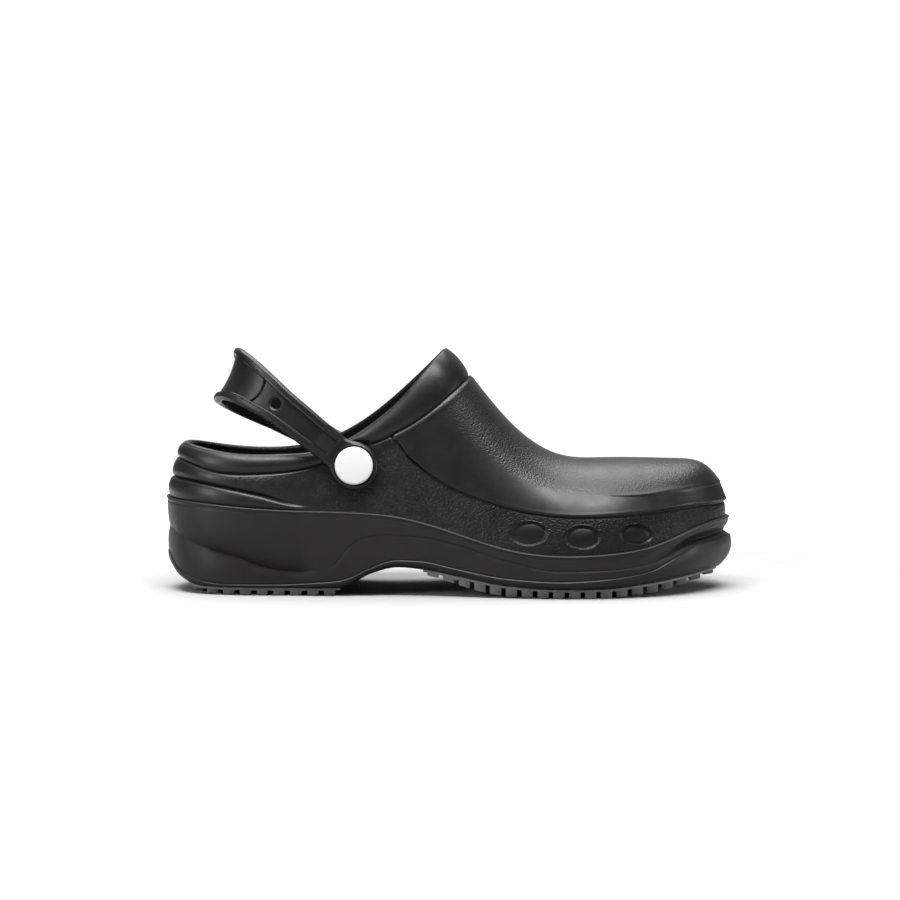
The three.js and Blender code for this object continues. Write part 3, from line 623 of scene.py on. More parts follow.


@dataclass(frozen=True)
class Foam:
    """Moulded foam: dark, satin, with pebbled grain where the mould was etched."""

    name: str
    dark: tuple[float, float, float]
    light: tuple[float, float, float]
    roughness: float = 0.5
    grain: Grain = Grain.NOWHERE
    grain_scale: float = 1150.0
    grain_depth: float = 0.00006
    specular: float = 0.23
    # specular on the matte lining and on the painted shade
    dull_and_shaded_specular: float = 0.06
    tooth: float = 0.000008

    def material(self) -> bpy.types.Material:
        """Builds the material.

        Returns:
            The finished material.
        """
        nodes = Nodes(self.name)
        where = nodes.place()
        cloud = nodes.noise(where, 38.0, 3.0, 0.55)
        nodes.tint(cloud, self.dark, self.light)
        fine = nodes.noise(where, 2600.0, 2.0, 0.5)
        smudge = nodes.noise(where, 120.0, 4.0, 0.6)
        spread = nodes.between(smudge, 0.3, 0.7, (self.roughness - 0.05, self.roughness + 0.06))
        nodes.link(spread, nodes.shader.inputs["Roughness"])
        # Specular drops where the mesh attribute is high: a matte lining, and painted shade in the sole's
        # trough and toe groove, under the vamp's edge and on the collar's front.
        dull_and_shade = nodes.add("ShaderNodeAttribute", attribute_name=DULL_AND_SHADE)
        gloss = nodes.between(dull_and_shade.outputs["Fac"], 0.0, 1.0, (self.specular, self.dull_and_shaded_specular))
        nodes.link(gloss, nodes.shader.inputs["Specular IOR Level"])
        relief = nodes.bump(fine, self.tooth)
        relief = nodes.bump(nodes.noise(where, 260.0, 2.0, 0.5), 0.00003, relief)
        if self.grain is Grain.MASKED:
            mask = nodes.add("ShaderNodeAttribute", attribute_name=self.grain.value)
            bent = nodes.noise(where, 700.0, 2.0, 0.5)
            pebble = nodes.maths("SUBTRACT", bent, nodes.pebbles(where, self.grain_scale))
            nodes.bump(nodes.maths("MULTIPLY", pebble, mask.outputs["Fac"]), self.grain_depth * 4.0, relief)
        return nodes.material


@dataclass(frozen=True)
class LugRubber:
    """Grey tread rubber: matte, a little dusty, with a fine tooth."""

    name: str = "tread rubber"
    dark: tuple[float, float, float] = (0.1, 0.1, 0.096)
    light: tuple[float, float, float] = (0.18, 0.18, 0.172)

    def material(self) -> bpy.types.Material:
        """Builds the material.

        Returns:
            The finished material.
        """
        nodes = Nodes(self.name)
        where = nodes.place()
        nodes.tint(nodes.noise(where, 160.0, 5.0, 0.6), self.dark, self.light)
        rough = nodes.between(nodes.noise(where, 420.0, 3.0, 0.5), 0.3, 0.7, (0.62, 0.82))
        nodes.link(rough, nodes.shader.inputs["Roughness"])
        relief = nodes.bump(nodes.noise(where, 1500.0, 3.0, 0.6), 0.00008)
        nodes.bump(nodes.noise(where, 300.0, 2.0, 0.5), 0.00012, relief)
        return nodes.material


@dataclass(frozen=True)
class ButtonPlastic:
    """Smooth moulded plastic of a button or a rivet."""

    name: str
    dark: tuple[float, float, float]
    light: tuple[float, float, float]
    roughness: float = 0.32

    def material(self) -> bpy.types.Material:
        """Builds the material.

        Returns:
            The finished material.
        """
        nodes = Nodes(self.name)
        where = nodes.place()
        nodes.tint(nodes.noise(where, 90.0, 3.0, 0.5), self.dark, self.light)
        wear = (self.roughness - 0.05, self.roughness + 0.08)
        rough = nodes.between(nodes.noise(where, 300.0, 4.0, 0.6), 0.3, 0.7, wear)
        nodes.link(rough, nodes.shader.inputs["Roughness"])
        nodes.bump(nodes.noise(where, 900.0, 2.0, 0.5), 0.000015)
        return nodes.material


@dataclass(frozen=True)
class FootbedFoam:
    """Footbed cover: matte, with small raised dots for grip."""

    name: str = "footbed"

    def material(self) -> bpy.types.Material:
        """Builds the material.

        Returns:
            The finished material.
        """
        nodes = Nodes(self.name)
        where = nodes.place()
        nodes.tint(nodes.noise(where, 60.0, 4.0, 0.6), (0.014, 0.014, 0.015), (0.030, 0.030, 0.031))
        rough = nodes.between(nodes.noise(where, 500.0, 3.0, 0.5), 0.3, 0.7, (0.78, 0.92))
        nodes.link(rough, nodes.shader.inputs["Roughness"])
        flat = nodes.place((1.0, 1.0, 0.0))
        dots = nodes.add("ShaderNodeTexVoronoi", feature="F1")
        dots.inputs["Scale"].default_value = 240.0
        dots.inputs["Randomness"].default_value = 0.0
        nodes.link(flat, dots.inputs["Vector"])
        knobs = nodes.between(dots.outputs["Distance"], 0.2, 0.36, (1.0, 0.0))
        relief = nodes.bump(knobs, 0.0004)
        nodes.bump(nodes.noise(where, 1800.0, 2.0, 0.6), 0.00006, relief)
        return nodes.material


@dataclass(frozen=True)
class StudioPaper:
    """Pale seamless paper."""

    name: str = "studio paper"

    def material(self) -> bpy.types.Material:
        """Builds the material.

        Returns:
            The finished material.
        """
        nodes = Nodes(self.name)
        nodes.shader.inputs["Specular IOR Level"].default_value = 0.15
        where = nodes.place()
        # Painted light: the paper is darker near the middle and paler toward its edge, making up for the
        # lamps' falloff so that the floor shows even white.
        far = nodes.add("ShaderNodeVectorMath", operation="LENGTH")
        nodes.link(where, far.inputs[0])
        painted_falloff_lift = nodes.between(far.outputs["Value"], 0.25, 0.65, (0.0, 0.9))
        speckle = nodes.between(nodes.noise(where, 30.0, 3.0, 0.5), 0.3, 0.7, (0.0, 0.015))
        nodes.tint(nodes.maths("ADD", painted_falloff_lift, speckle), (0.24, 0.24, 0.24), (0.85, 0.85, 0.85))
        rough = nodes.between(nodes.noise(where, 40.0, 2.0, 0.5), 0.3, 0.7, (0.85, 0.95))
        nodes.link(rough, nodes.shader.inputs["Roughness"])
        return nodes.material


# Meshes


def flat_grid(columns: int, rows: int) -> bmesh.types.BMesh:
    """Grid over the unit square.

    Args:
        columns: Faces along X.
        rows: Faces along Y.

    Returns:
        The mesh.
    """
    bm = bmesh.new()
    bmesh.ops.create_grid(bm, x_segments=columns, y_segments=rows, size=0.5)
    bmesh.ops.translate(bm, verts=bm.verts, vec=(0.5, 0.5, 0.0))
    return bm


def flat_places(bm: bmesh.types.BMesh) -> tuple[Array, Array]:
    """Places of all vertices in the unit square."""
    co = np.array([v.co for v in bm.verts], float)
    return co[:, 0], co[:, 1]


def move_to(bm: bmesh.types.BMesh, points: Array) -> None:
    """Moves each vertex to its point, given in millimetres."""
    for vert, co in zip(bm.verts, (points - ORIGIN) * MM):
        vert.co = co


def paint(bm: bmesh.types.BMesh, name: str, values: Array) -> None:
    """Stores one number per vertex.

    Args:
        bm: The mesh.
        name: The attribute's name.
        values: One number a vertex.
    """
    layer = bm.verts.layers.float.get(name) or bm.verts.layers.float.new(name)
    for vert, value in zip(bm.verts, values):
        vert[layer] = float(value)


def close_up(bm: bmesh.types.BMesh, distance: float = 2e-6) -> None:
    """Joins seams and points every face outward.

    Args:
        bm: The mesh.
        distance: Vertices nearer than this are joined.
    """
    bmesh.ops.remove_doubles(bm, verts=bm.verts, dist=distance)
    bmesh.ops.dissolve_degenerate(bm, edges=bm.edges, dist=1e-7)
    bmesh.ops.recalc_face_normals(bm, faces=bm.faces)


def to_object(
    bm: bmesh.types.BMesh, name: str, material: bpy.types.Material, sharp: float = 50.0,
) -> bpy.types.Object:
    """Makes a shaded object of a mesh.

    Args:
        bm: Mesh, freed here.
        name: Name of the piece.
        material: Its finish.
        sharp: Angle in degrees past which an edge stays crisp.

    Returns:
        The linked object.
    """
    mesh = bpy.data.meshes.new(name)
    for face in bm.faces:
        face.smooth = True
    bm.to_mesh(mesh)
    bm.free()
    mesh.set_sharp_from_angle(angle=math.radians(sharp))
    mesh.materials.append(material)
    piece = bpy.data.objects.new(name, mesh)
    bpy.context.scene.collection.objects.link(piece)
    return piece


def settle(piece: bpy.types.Object, slot: str, *nodes: str) -> bpy.types.Object:
    """Makes a piece ride on the shoe and stand for its solids, which are hidden.

    Args:
        piece: The piece.
        slot: Not used.
        nodes: Solids that it stands for.

    Returns:
        The piece.
    """
    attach(piece, "root")
    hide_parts(*nodes)
    log.info("%s: %d faces", piece.name, len(piece.data.polygons))
    return piece


def zoned_rows(zones: Sequence[int]) -> Array:
    """Row places, each zone one unit long and crowded at both ends."""
    rows = [zone + crowded(count)[:-1] for zone, count in enumerate(zones)]
    return np.append(np.concatenate(rows), float(len(zones)))


def rows_at(places: Array, stations: Array) -> Array:
    """Rows of places from 0 to 1, with the rows' own spacing."""
    return np.interp(places * (len(stations) - 1), np.arange(len(stations)), stations)


def turned(profile: Sequence[tuple[float, float]], steps: int) -> bmesh.types.BMesh:
    """Solid of revolution about Z.

    Args:
        profile: Radius and height of each point in millimetres, from the axis back to the axis.
        steps: Sides of the solid.

    Returns:
        The closed mesh, in millimetres.
    """
    bm = bmesh.new()
    verts = [bm.verts.new((radius, 0.0, height)) for radius, height in profile]
    edges = [bm.edges.new(pair) for pair in zip(verts, verts[1:])]
    bmesh.ops.spin(
        bm, geom=verts + edges, cent=(0.0, 0.0, 0.0), axis=(0.0, 0.0, 1.0),
        angle=2.0 * math.pi, steps=steps, use_merge=True,
    )
    close_up(bm, 1e-4)
    return bm


def seat_on(bm: bmesh.types.BMesh, seat: Seat) -> None:
    """Sets a mesh in millimetres on a seat, with its Z along the outward direction.

    Args:
        bm: The mesh.
        seat: The seat.
    """
    axes = np.stack([seat.forward, np.cross(seat.out, seat.forward), seat.out], axis=1)
    basis = Matrix([[*row] for row in axes]).to_4x4()
    place = Matrix.Translation(Vector((seat.point - ORIGIN) * MM)) @ basis @ Matrix.Scale(MM, 4)
    bmesh.ops.transform(bm, matrix=place, verts=bm.verts)


# The upper


@dataclass
class Vent:
    """Blind oval vent in the side wall."""

    at: float
    up: float
    half_length: float
    half_height: float
    depth: float = 1.4
    crown: float = 0.9
    rim: float = 0.2
    skin: float = 8.0

    def reach(self, last: Last, points: Array, side: int) -> Array:
        """Distance of points from the vent's middle, over its oval size.

        Args:
            last: The last.
            points: Points of the shell.
            side: -1 for the outer vent, 1 for the inner one.

        Returns:
            Less than 1 inside the oval, and large on the other side of the shoe.
        """
        x = last.flange + self.at * last.span
        seat = last.seat(x, float(self.up * last.lines["wall"](x)), side)
        away = points - seat.point
        oval = np.hypot(away @ seat.forward / self.half_length, away @ seat.upward / self.half_height)
        return np.where(np.abs(away @ seat.out) < self.skin, oval, 9.0)

    def relief(self, oval: Array) -> Array:
        """Thin raised rim, a groove and a crowned middle.

        Args:
            oval: Distances from the vent's middle, as reach gives them.

        Returns:
            Heights over the wall.
        """
        dome = self.crown * np.clip(1.0 - (oval / 0.92) ** 2, 0.0, 1.0) ** 0.7 - self.depth
        inside = 1.0 - smoothstep(oval, 0.88, 1.0)
        return inside * dome + self.rim * bell(oval - 1.05, 0.04)


@dataclass
class Upper:
    """Foam upper: one hollow shell with a rolled collar, heel ribs and a raised vamp."""

    last: Last
    finish: Foam
    wall: float = WALL
    rim_roll: float = 1.7
    rim_groove: float = 0.42
    lip: float = 0.32
    lip_round: float = 1.3
    panel_step: float = 1.3
    panel_corner: float = 0.7
    panel_from: float = 113.6
    rib: float = 1.2
    rib_ends: tuple[float, float] = (0.17, 0.27)
    groove: float = 0.9
    cap_ridge: float = 0.35
    cap_cove: float = 0.2
    foot_clear: float = 0.05
    boss_radius: float = BOSS_RADIUS
    outer_drop: float = 2.6
    drop_start: tuple[float, float] = (56.0, 84.0)
    drop_end: tuple[float, float] = (112.0, 137.0)
    columns: int = 420
    # A row counts the zones of a column: 0 foot, 1 wall line, 2 toe crease, 3 rim, 4 collar, 5 inner
    # edge, 7 foot of the lining, 8 closed.
    zones: tuple[int, ...] = (26, 18, 60, 24, 8, 6, 12, 2)
    crowding: tuple[tuple[float, float], ...] = ((0.0, 0.0), (0.222, 0.262), (0.29, 0.298), (0.5, 0.5))
    vents: tuple[Vent, ...] = (
        Vent(0.638, 0.49, 8.8, 5.9),
        Vent(0.7305, 0.485, 8.5, 5.7),
        Vent(0.825, 0.435, 8.6, 4.9),
    )

    def arcs(self, turns: Array) -> dict[str, Array]:
        """Runs of points from the foot to the rim.

        Args:
            turns: Turns once round the shoe, 0 to 1 from the toe.

        Returns:
            The points, their lengths up the wall, the lengths at which each run crosses its lines, and its
            points on the rim and the collar.
        """
        way, side = way_and_side(turns)
        foot = self.last.foot(turns)
        rim = self.last.loop("rim", way, side)
        collar = self.last.loop("collar", way, side)
        f = (np.arange(401) / 400.0) ** 3
        x = lerp(foot[:, None, 0], rim[:, None, 0], f)
        y = lerp(foot[:, None, 1], rim[:, None, 1], f)
        points = self.last.over(x, y)
        points[:, 0] = foot
        points[:, -1] = rim
        steps = np.linalg.norm(np.diff(points, axis=1), axis=2)
        lengths = np.concatenate([np.zeros((len(turns), 1)), np.cumsum(steps, axis=1)], axis=1)
        rise = points[:, :, 2] - self.last.lines["sole_line"](points[:, :, 0])
        total = lengths[:, -1]
        knots = [np.zeros(len(turns))]
        for name in ("wall", "crease"):
            gap = rise - self.last.lines[name](points[:, :, 0])
            above = gap > 0.0
            first = np.where(above.any(axis=1), np.argmax(above, axis=1), f.size - 1)
            k = np.clip(first, 1, f.size - 1)
            row = np.arange(len(turns))
            low, high = gap[row, k - 1], gap[row, k]
            part = np.clip(low / np.where(np.abs(low - high) < TINY, TINY, low - high), 0.0, 1.0)
            crossing = lerp(lengths[row, k - 1], lengths[row, k], part)
            knots.append(np.clip(crossing, knots[-1] + 1.2, total - 1.2 * (4 - len(knots))))
        knots.append(total)
        runs = {"points": points, "lengths": lengths, "knots": np.stack(knots, axis=1)}
        return runs | {"rim": rim, "collar": collar}

    def surface(self, turns: Array, rows: Array) -> tuple[Array, Array, Array]:
        """Points of the bare last.

        Args:
            turns: Turns once round the shoe, 0 to 1 from the toe.
            rows: Rows up the shell, 0 to 4.

        Returns:
            The points, their lengths up the wall, and each column's knots.
        """
        keys, which = np.unique(np.round(np.mod(turns, 1.0), 9), return_inverse=True)
        arcs = self.arcs(keys)
        points = np.empty((len(turns), 3))
        along = np.empty(len(turns))
        order = np.argsort(which, kind="stable")
        bounds = np.searchsorted(which[order], np.arange(len(keys) + 1))
        for k in range(len(keys)):
            pick = order[bounds[k]:bounds[k + 1]]
            row = rows[pick]
            s = np.interp(row, (0.0, 1.0, 2.0, 3.0), arcs["knots"][k])
            run, length = arcs["points"][k], arcs["lengths"][k]
            spot = np.stack([np.interp(s, length, run[:, a]) for a in range(3)], axis=1)
            band = np.clip(row - 3.0, 0.0, 1.0)[:, None]
            points[pick] = np.where(band > 0.0, lerp(arcs["rim"][k], arcs["collar"][k], band), spot)
            along[pick] = s
        return points, along, arcs["knots"][which]

    def normals(self, turns: Array, rows: Array) -> Array:
        """Outward directions of the bare last.

        Args:
            turns: Turns once round the shoe, 0 to 1 from the toe.
            rows: Rows up the shell, 0 to 4.

        Returns:
            Directions of length 1.
        """
        aside = 0.3 / self.columns
        nudge = 0.02
        across = self.surface(turns + aside, rows)[0] - self.surface(turns - aside, rows)[0]
        upward = self.surface(turns, np.minimum(rows + nudge, 4.0))[0]
        upward = upward - self.surface(turns, np.maximum(rows - nudge, 0.0))[0]
        return unit(np.cross(upward, across))

    def panel(self, inside: Array) -> Array:
        """Relief across the edge of the vamp.

        Args:
            inside: Distances inside the edge.

        Returns:
            Heights over the bare last.
        """
        step = self.panel_step * smoothstep(inside, -0.35, 0.75)
        shadow = 0.25 * bell(inside + 0.6, 0.5)
        ridge = 0.12 * bell(inside - 1.2, 0.8)
        return step + ridge - shadow

    def heel_ribs(self, rows: Array, along: Array, knots: Array, heel: Array) -> Array:
        """Relief of the two ribs round the heel and the groove between them.

        Args:
            rows: Rows up the shell.
            along: Lengths up each column.
            knots: Lengths at which each column crosses its lines.
            heel: 1 at the heel, 0 past the ends of the ribs.

        Returns:
            Heights over the bare last.
        """
        low = np.clip(along / knots[:, 1], 0.0, 1.0)
        high = np.clip((along - knots[:, 1]) / (knots[:, 3] - knots[:, 1]), 0.0, 1.0)
        swell = np.where(rows < 1.0, np.sin(np.pi * low), np.sin(np.pi * high)) ** 0.7
        return heel * (self.rib * swell - self.groove * bell(along - knots[:, 1], 0.9))

    def toe_cap(self, x: Array, rows: Array, over_crease: Array) -> Array:
        """Relief of the toe cap: a soft ridge with a hollow band below it.

        Args:
            x: Places along the shoe.
            rows: Rows up the shell.
            over_crease: Lengths above the cap's line.

        Returns:
            Heights over the bare last.
        """
        hollow = smoothstep(x, 192.0, 232.0) * smoothstep(x, 215.0, 250.0)
        cove = np.sin(np.pi * np.clip(rows - 1.0, 0.0, 1.0))
        ridge = bell(over_crease, np.where(rows < 2.0, 0.7, 2.0)) * smoothstep(x, 205.0, 235.0)
        return self.cap_ridge * ridge - self.cap_cove * hollow * cove

    def below_rim(self, under_rim: Array, heel: Array) -> Array:
        """Relief of the groove under the collar and the soft swell below it."""
        groove = self.rim_groove * bell(under_rim, 0.9) * (1.0 - 0.4 * heel)
        return 0.1 * bell(under_rim - 2.2, 1.3) * (1.0 - heel) - groove

    def collar_roll(self, rows: Array) -> Array:
        """Relief of the rolled collar.

        Args:
            rows: Rows up the shell.

        Returns:
            Heights over the bare last.
        """
        band = np.clip(rows - 3.0, 0.0, 1.0)
        roll = self.rim_roll * np.sin(np.pi * (band * 0.94 + 0.03)) ** 0.7
        return roll - 0.5 * (1.0 - smoothstep(band, 0.0, 0.12))

    def relief(self, rows: Array, along: Array, knots: Array, points: Array) -> Array:
        """Height over the bare last of everything moulded on the outside.

        Args:
            rows: Rows up the shell.
            along: Lengths up each column.
            knots: Lengths at which each column crosses its lines.
            points: Points of the bare last.

        Returns:
            Heights over the bare last.
        """
        x = points[:, 0]
        heel = 1.0 - smoothstep(self.last.share(x), *self.rib_ends)
        corner = self.panel_corner
        from_line, from_start = along - knots[:, 1], x - self.panel_from
        inside = -np.log(np.exp(-from_line / corner) + np.exp(-from_start / corner)) * corner
        total = self.heel_ribs(rows, along, knots, heel) + self.panel(np.clip(inside, -12.0, 60.0))
        total = total + self.below_rim(knots[:, 3] - along, heel)
        total = total + self.toe_cap(x, rows, along - knots[:, 2])
        return np.where(rows > 3.0, self.collar_roll(rows), np.where(rows < 3.0, total, 0.0))

    def pivots(self) -> list[Array]:
        """Middles of the strap's two bosses on the wall."""
        return [strap_seat(self.last, side).point for side in (-1, 1)]

    def vent_relief(self, base: Array) -> Array:
        """Relief of all six vents.

        Args:
            base: Points of the bare last.

        Returns:
            Heights over the wall.
        """
        total = np.zeros(len(base))
        for side in (-1, 1):
            for vent in self.vents:
                total += vent.relief(vent.reach(self.last, base, side))
        return total

    def sink(self, turns: Array, x: Array, rows: Array) -> Array:
        """How far the collar is let down beside the ankle, on the outer side alone.

        Args:
            turns: Turns once round the shoe.
            x: Places along the shoe.
            rows: Rows up the shell.

        Returns:
            Lengths along the wall, growing from the rim to the collar.
        """
        beside_ankle = smoothstep(x, *self.drop_start) * (1.0 - smoothstep(x, *self.drop_end))
        drop = np.where(way_and_side(turns)[1] < 0.0, self.outer_drop, 0.0) * beside_ankle
        lining = np.where(rows > 5.0, np.clip(7.0 - rows, 0.0, 1.0), 1.0)
        return drop * np.clip(rows - 3.0, 0.0, 1.0) * (rows < 7.0) * lining

    def shape(self, turns: Array, rows: Array) -> tuple[Array, Array, Array]:
        """Points of the whole shell, with its two masks.

        Args:
            turns: Turns once round the shoe.
            rows: Rows up the outside, over the collar and down the lining.

        Returns:
            The points, where the mould was etched, and where the specular is lowered: the matte lining and
            painted shade.
        """
        outer = np.select(
            [rows <= 4.0, rows <= 5.0, rows <= 6.0, rows <= 7.0],
            [rows, np.full_like(rows, 4.0), 9.0 - rows, 3.0 * (7.0 - rows)], 0.0,
        )
        base, along, knots = self.surface(turns, outer)
        normal = self.normals(turns, outer)
        vent = self.vent_relief(base)
        near = np.min([np.linalg.norm(base - pivot, axis=1) for pivot in self.pivots()], axis=0)
        clear_of_boss = smoothstep(near, self.boss_radius, self.boss_radius * 1.35)
        height = self.relief(outer, along, knots, base) * clear_of_boss + vent
        outside = base + normal * height[:, None]
        inside = base - normal * self.wall
        rim, collar = (self.surface(turns, np.full_like(rows, row))[0] for row in (3.0, 4.0))
        turn_over = np.pi * np.clip(rows - 4.0, 0.0, 1.0)[:, None]
        half = (self.lip + self.wall) / 2.0
        edge = collar + normal * (self.lip - half + half * np.cos(turn_over))
        edge = edge + unit(collar - rim) * self.lip_round * np.sin(turn_over)
        points = np.select(
            [rows[:, None] <= 4.0, rows[:, None] <= 5.0, rows[:, None] <= 7.0],
            [outside, edge, inside], lerp(inside, base, np.clip(rows - 7.0, 0.0, 1.0)[:, None]),
        )
        points = points + unit(rim - collar) * self.sink(turns, base[:, 0], rows)[:, None]
        level = self.last.lines["sole_line"](base[:, 0]) + self.foot_clear
        at_foot = (rows <= 0.0) | (rows >= 7.0)
        points[:, 2] = np.where(at_foot, level, np.maximum(points[:, 2], level))
        dull_and_shade = self.dullness_and_shade(base[:, 0], rows, knots[:, 1] - along)
        return points, self.grain(rows, base, along, knots, vent), dull_and_shade

    def dullness_and_shade(self, x: Array, rows: Array, under_panel: Array) -> Array:
        """Where the specular is lowered: the matte lining in full, and painted shade on the side wall under
        the vamp's edge and on the collar's front in part.

        Args:
            x: Places along the shoe.
            rows: Rows up the shell.
            under_panel: Lengths below the vamp's edge.

        Returns:
            0 for the plain skin, 1 for the dullest.
        """
        # Painted shade: the side wall under the vamp's edge is dulled, and so darkened, for the shade under
        # the overhang as well as the etched skin; the collar's front is dulled to dim its highlight.
        side_wall_dull_and_shade = smoothstep(x, 150.0, 205.0) * smoothstep(under_panel, 0.0, 0.6)
        side_wall_dull_and_shade = side_wall_dull_and_shade * lerp(0.85, 0.45, smoothstep(under_panel, 3.0, 16.0)) * (rows < 1.5)
        collar_front_shade = 0.4 * smoothstep(x, 118.0, 138.0) * (rows > 3.0)
        return np.where(rows > 4.6, 1.0, np.maximum(side_wall_dull_and_shade, collar_front_shade))

    def grain(self, rows: Array, base: Array, along: Array, knots: Array, vent: Array) -> Array:
        """Where the mould was etched.

        Args:
            rows: Rows up the shell.
            base: Points of the bare last.
            along: Lengths up each column.
            knots: Lengths at which each column crosses its lines.
            vent: Relief of the vents.

        Returns:
            0 where the skin is smooth, 1 where its grain is deepest.
        """
        x = base[:, 0]
        over_line = along - knots[:, 1]
        quarter = (0.95 - 0.3 * (1.0 - smoothstep(x, 60.0, 90.0))) * smoothstep(x, 20.0, 40.0)
        quarter = quarter * smoothstep(np.abs(over_line), 0.6, 2.5)
        quarter = quarter * smoothstep(knots[:, 3] - along, 1.5, 4.0)
        on_vamp = smoothstep(over_line, -0.5, 0.5) * smoothstep(x - self.panel_from, -1.0, 1.0)
        vamp = 0.5 * smoothstep(along - knots[:, 2], -1.5, 8.0) * smoothstep(x, 120.0, 156.0)
        rib = (1.0 - smoothstep(x, 66.0, 84.0)) * (rows < 1.0)
        mask = lerp(quarter, vamp, on_vamp) * (rows < 3.0)
        mask = mask * (1.0 - rib) * (1.0 - np.clip(np.abs(vent) * 2.5, 0.0, 0.9))
        return np.where(rows > 4.6, 0.8, mask)

    def build(self) -> bpy.types.Object:
        """Makes the shell, with finer faces at the vents.

        Returns:
            The finished piece.
        """
        stations = zoned_rows(self.zones)
        bm = flat_grid(self.columns, len(stations) - 1)
        turns, rows = self.places(bm, stations)
        base = self.surface(turns, np.clip(rows, 0.0, 4.0))[0]
        near = np.min([vent.reach(self.last, base, side) for vent in self.vents for side in (-1, 1)], axis=0)
        bm.verts.ensure_lookup_table()
        fine = np.nonzero((near < 1.35) & (rows < 3.0))[0]
        edges = {edge for i in fine for face in bm.verts[i].link_faces for edge in face.edges}
        bmesh.ops.subdivide_edges(bm, edges=list(edges), cuts=2, use_grid_fill=True)
        points, grain, dull_and_shade = self.shape(*self.places(bm, stations))
        move_to(bm, points)
        paint(bm, Grain.MASKED.value, grain)
        # painted shade and the matte lining, as lowered specular
        paint(bm, DULL_AND_SHADE, dull_and_shade)
        close_up(bm)
        return settle(to_object(bm, "upper_shell", self.finish.material(), 70.0), "upper", "upper")

    def places(self, bm: bmesh.types.BMesh, stations: Array) -> tuple[Array, Array]:
        """Turns and rows of all vertices; the columns crowd where the vamp's edge starts.

        Args:
            bm: The flat grid.
            stations: Row of each line of the grid.

        Returns:
            The turns and the rows.
        """
        turns, places = flat_places(bm)
        spread = np.interp(np.minimum(turns, 1.0 - turns), *zip(*self.crowding))
        return np.where(turns <= 0.5, spread, 1.0 - spread), rows_at(places, stations)


def strap_seat(last: Last, side: int) -> Seat:
    """Seat of the strap's boss on the wall."""
    return last.seat(last.flange + PIVOT_AT * last.span, PIVOT_RISE, side)


# The sole and the footbed


@dataclass
class Rings:
    """Loops round the shoe, set out from the upper's outline."""

    last: Last

    def directions(self, turns: Array) -> Array:
        """Outward directions in plan.

        Args:
            turns: Turns once round the shoe, 0 to 1 from the toe.

        Returns:
            Directions of length 1.
        """
        nudge = 5e-4
        step = self.last.foot(turns + nudge) - self.last.foot(turns - nudge)
        flat = np.stack([-step[:, 1], step[:, 0], np.zeros(len(turns))], axis=1)
        return unit(flat)

    def points(self, turns: Array, out: Array, height: Array) -> Array:
        """Points of loops round the shoe.

        Args:
            turns: Turns once round the shoe, 0 to 1 from the toe.
            out: Distances out from the upper's outline.
            height: Their heights.

        Returns:
            Points, with x, y and z in the last axis.
        """
        spots = self.last.foot(turns) + self.directions(turns) * out[:, None]
        spots[:, 2] = height
        return spots

    def toward_spine(self, turns: Array, out: float | Array, height: Array, part: Array) -> Array:
        """Points between a loop and the shoe's centre line.

        Args:
            turns: Turns once round the shoe, 0 to 1 from the toe.
            out: The loop's distance out from the upper's outline.
            height: Heights.
            part: 0 on the loop, 1 on the centre line.

        Returns:
            Points, with x, y and z in the last axis.
        """
        edge = self.points(turns, np.broadcast_to(out, turns.shape), height)
        x = np.clip(edge[:, 0], 0.0, self.last.length)
        spine = np.stack([edge[:, 0], self.last.lines["middle"](x), height], axis=1)
        return lerp(edge, spine, part[:, None])


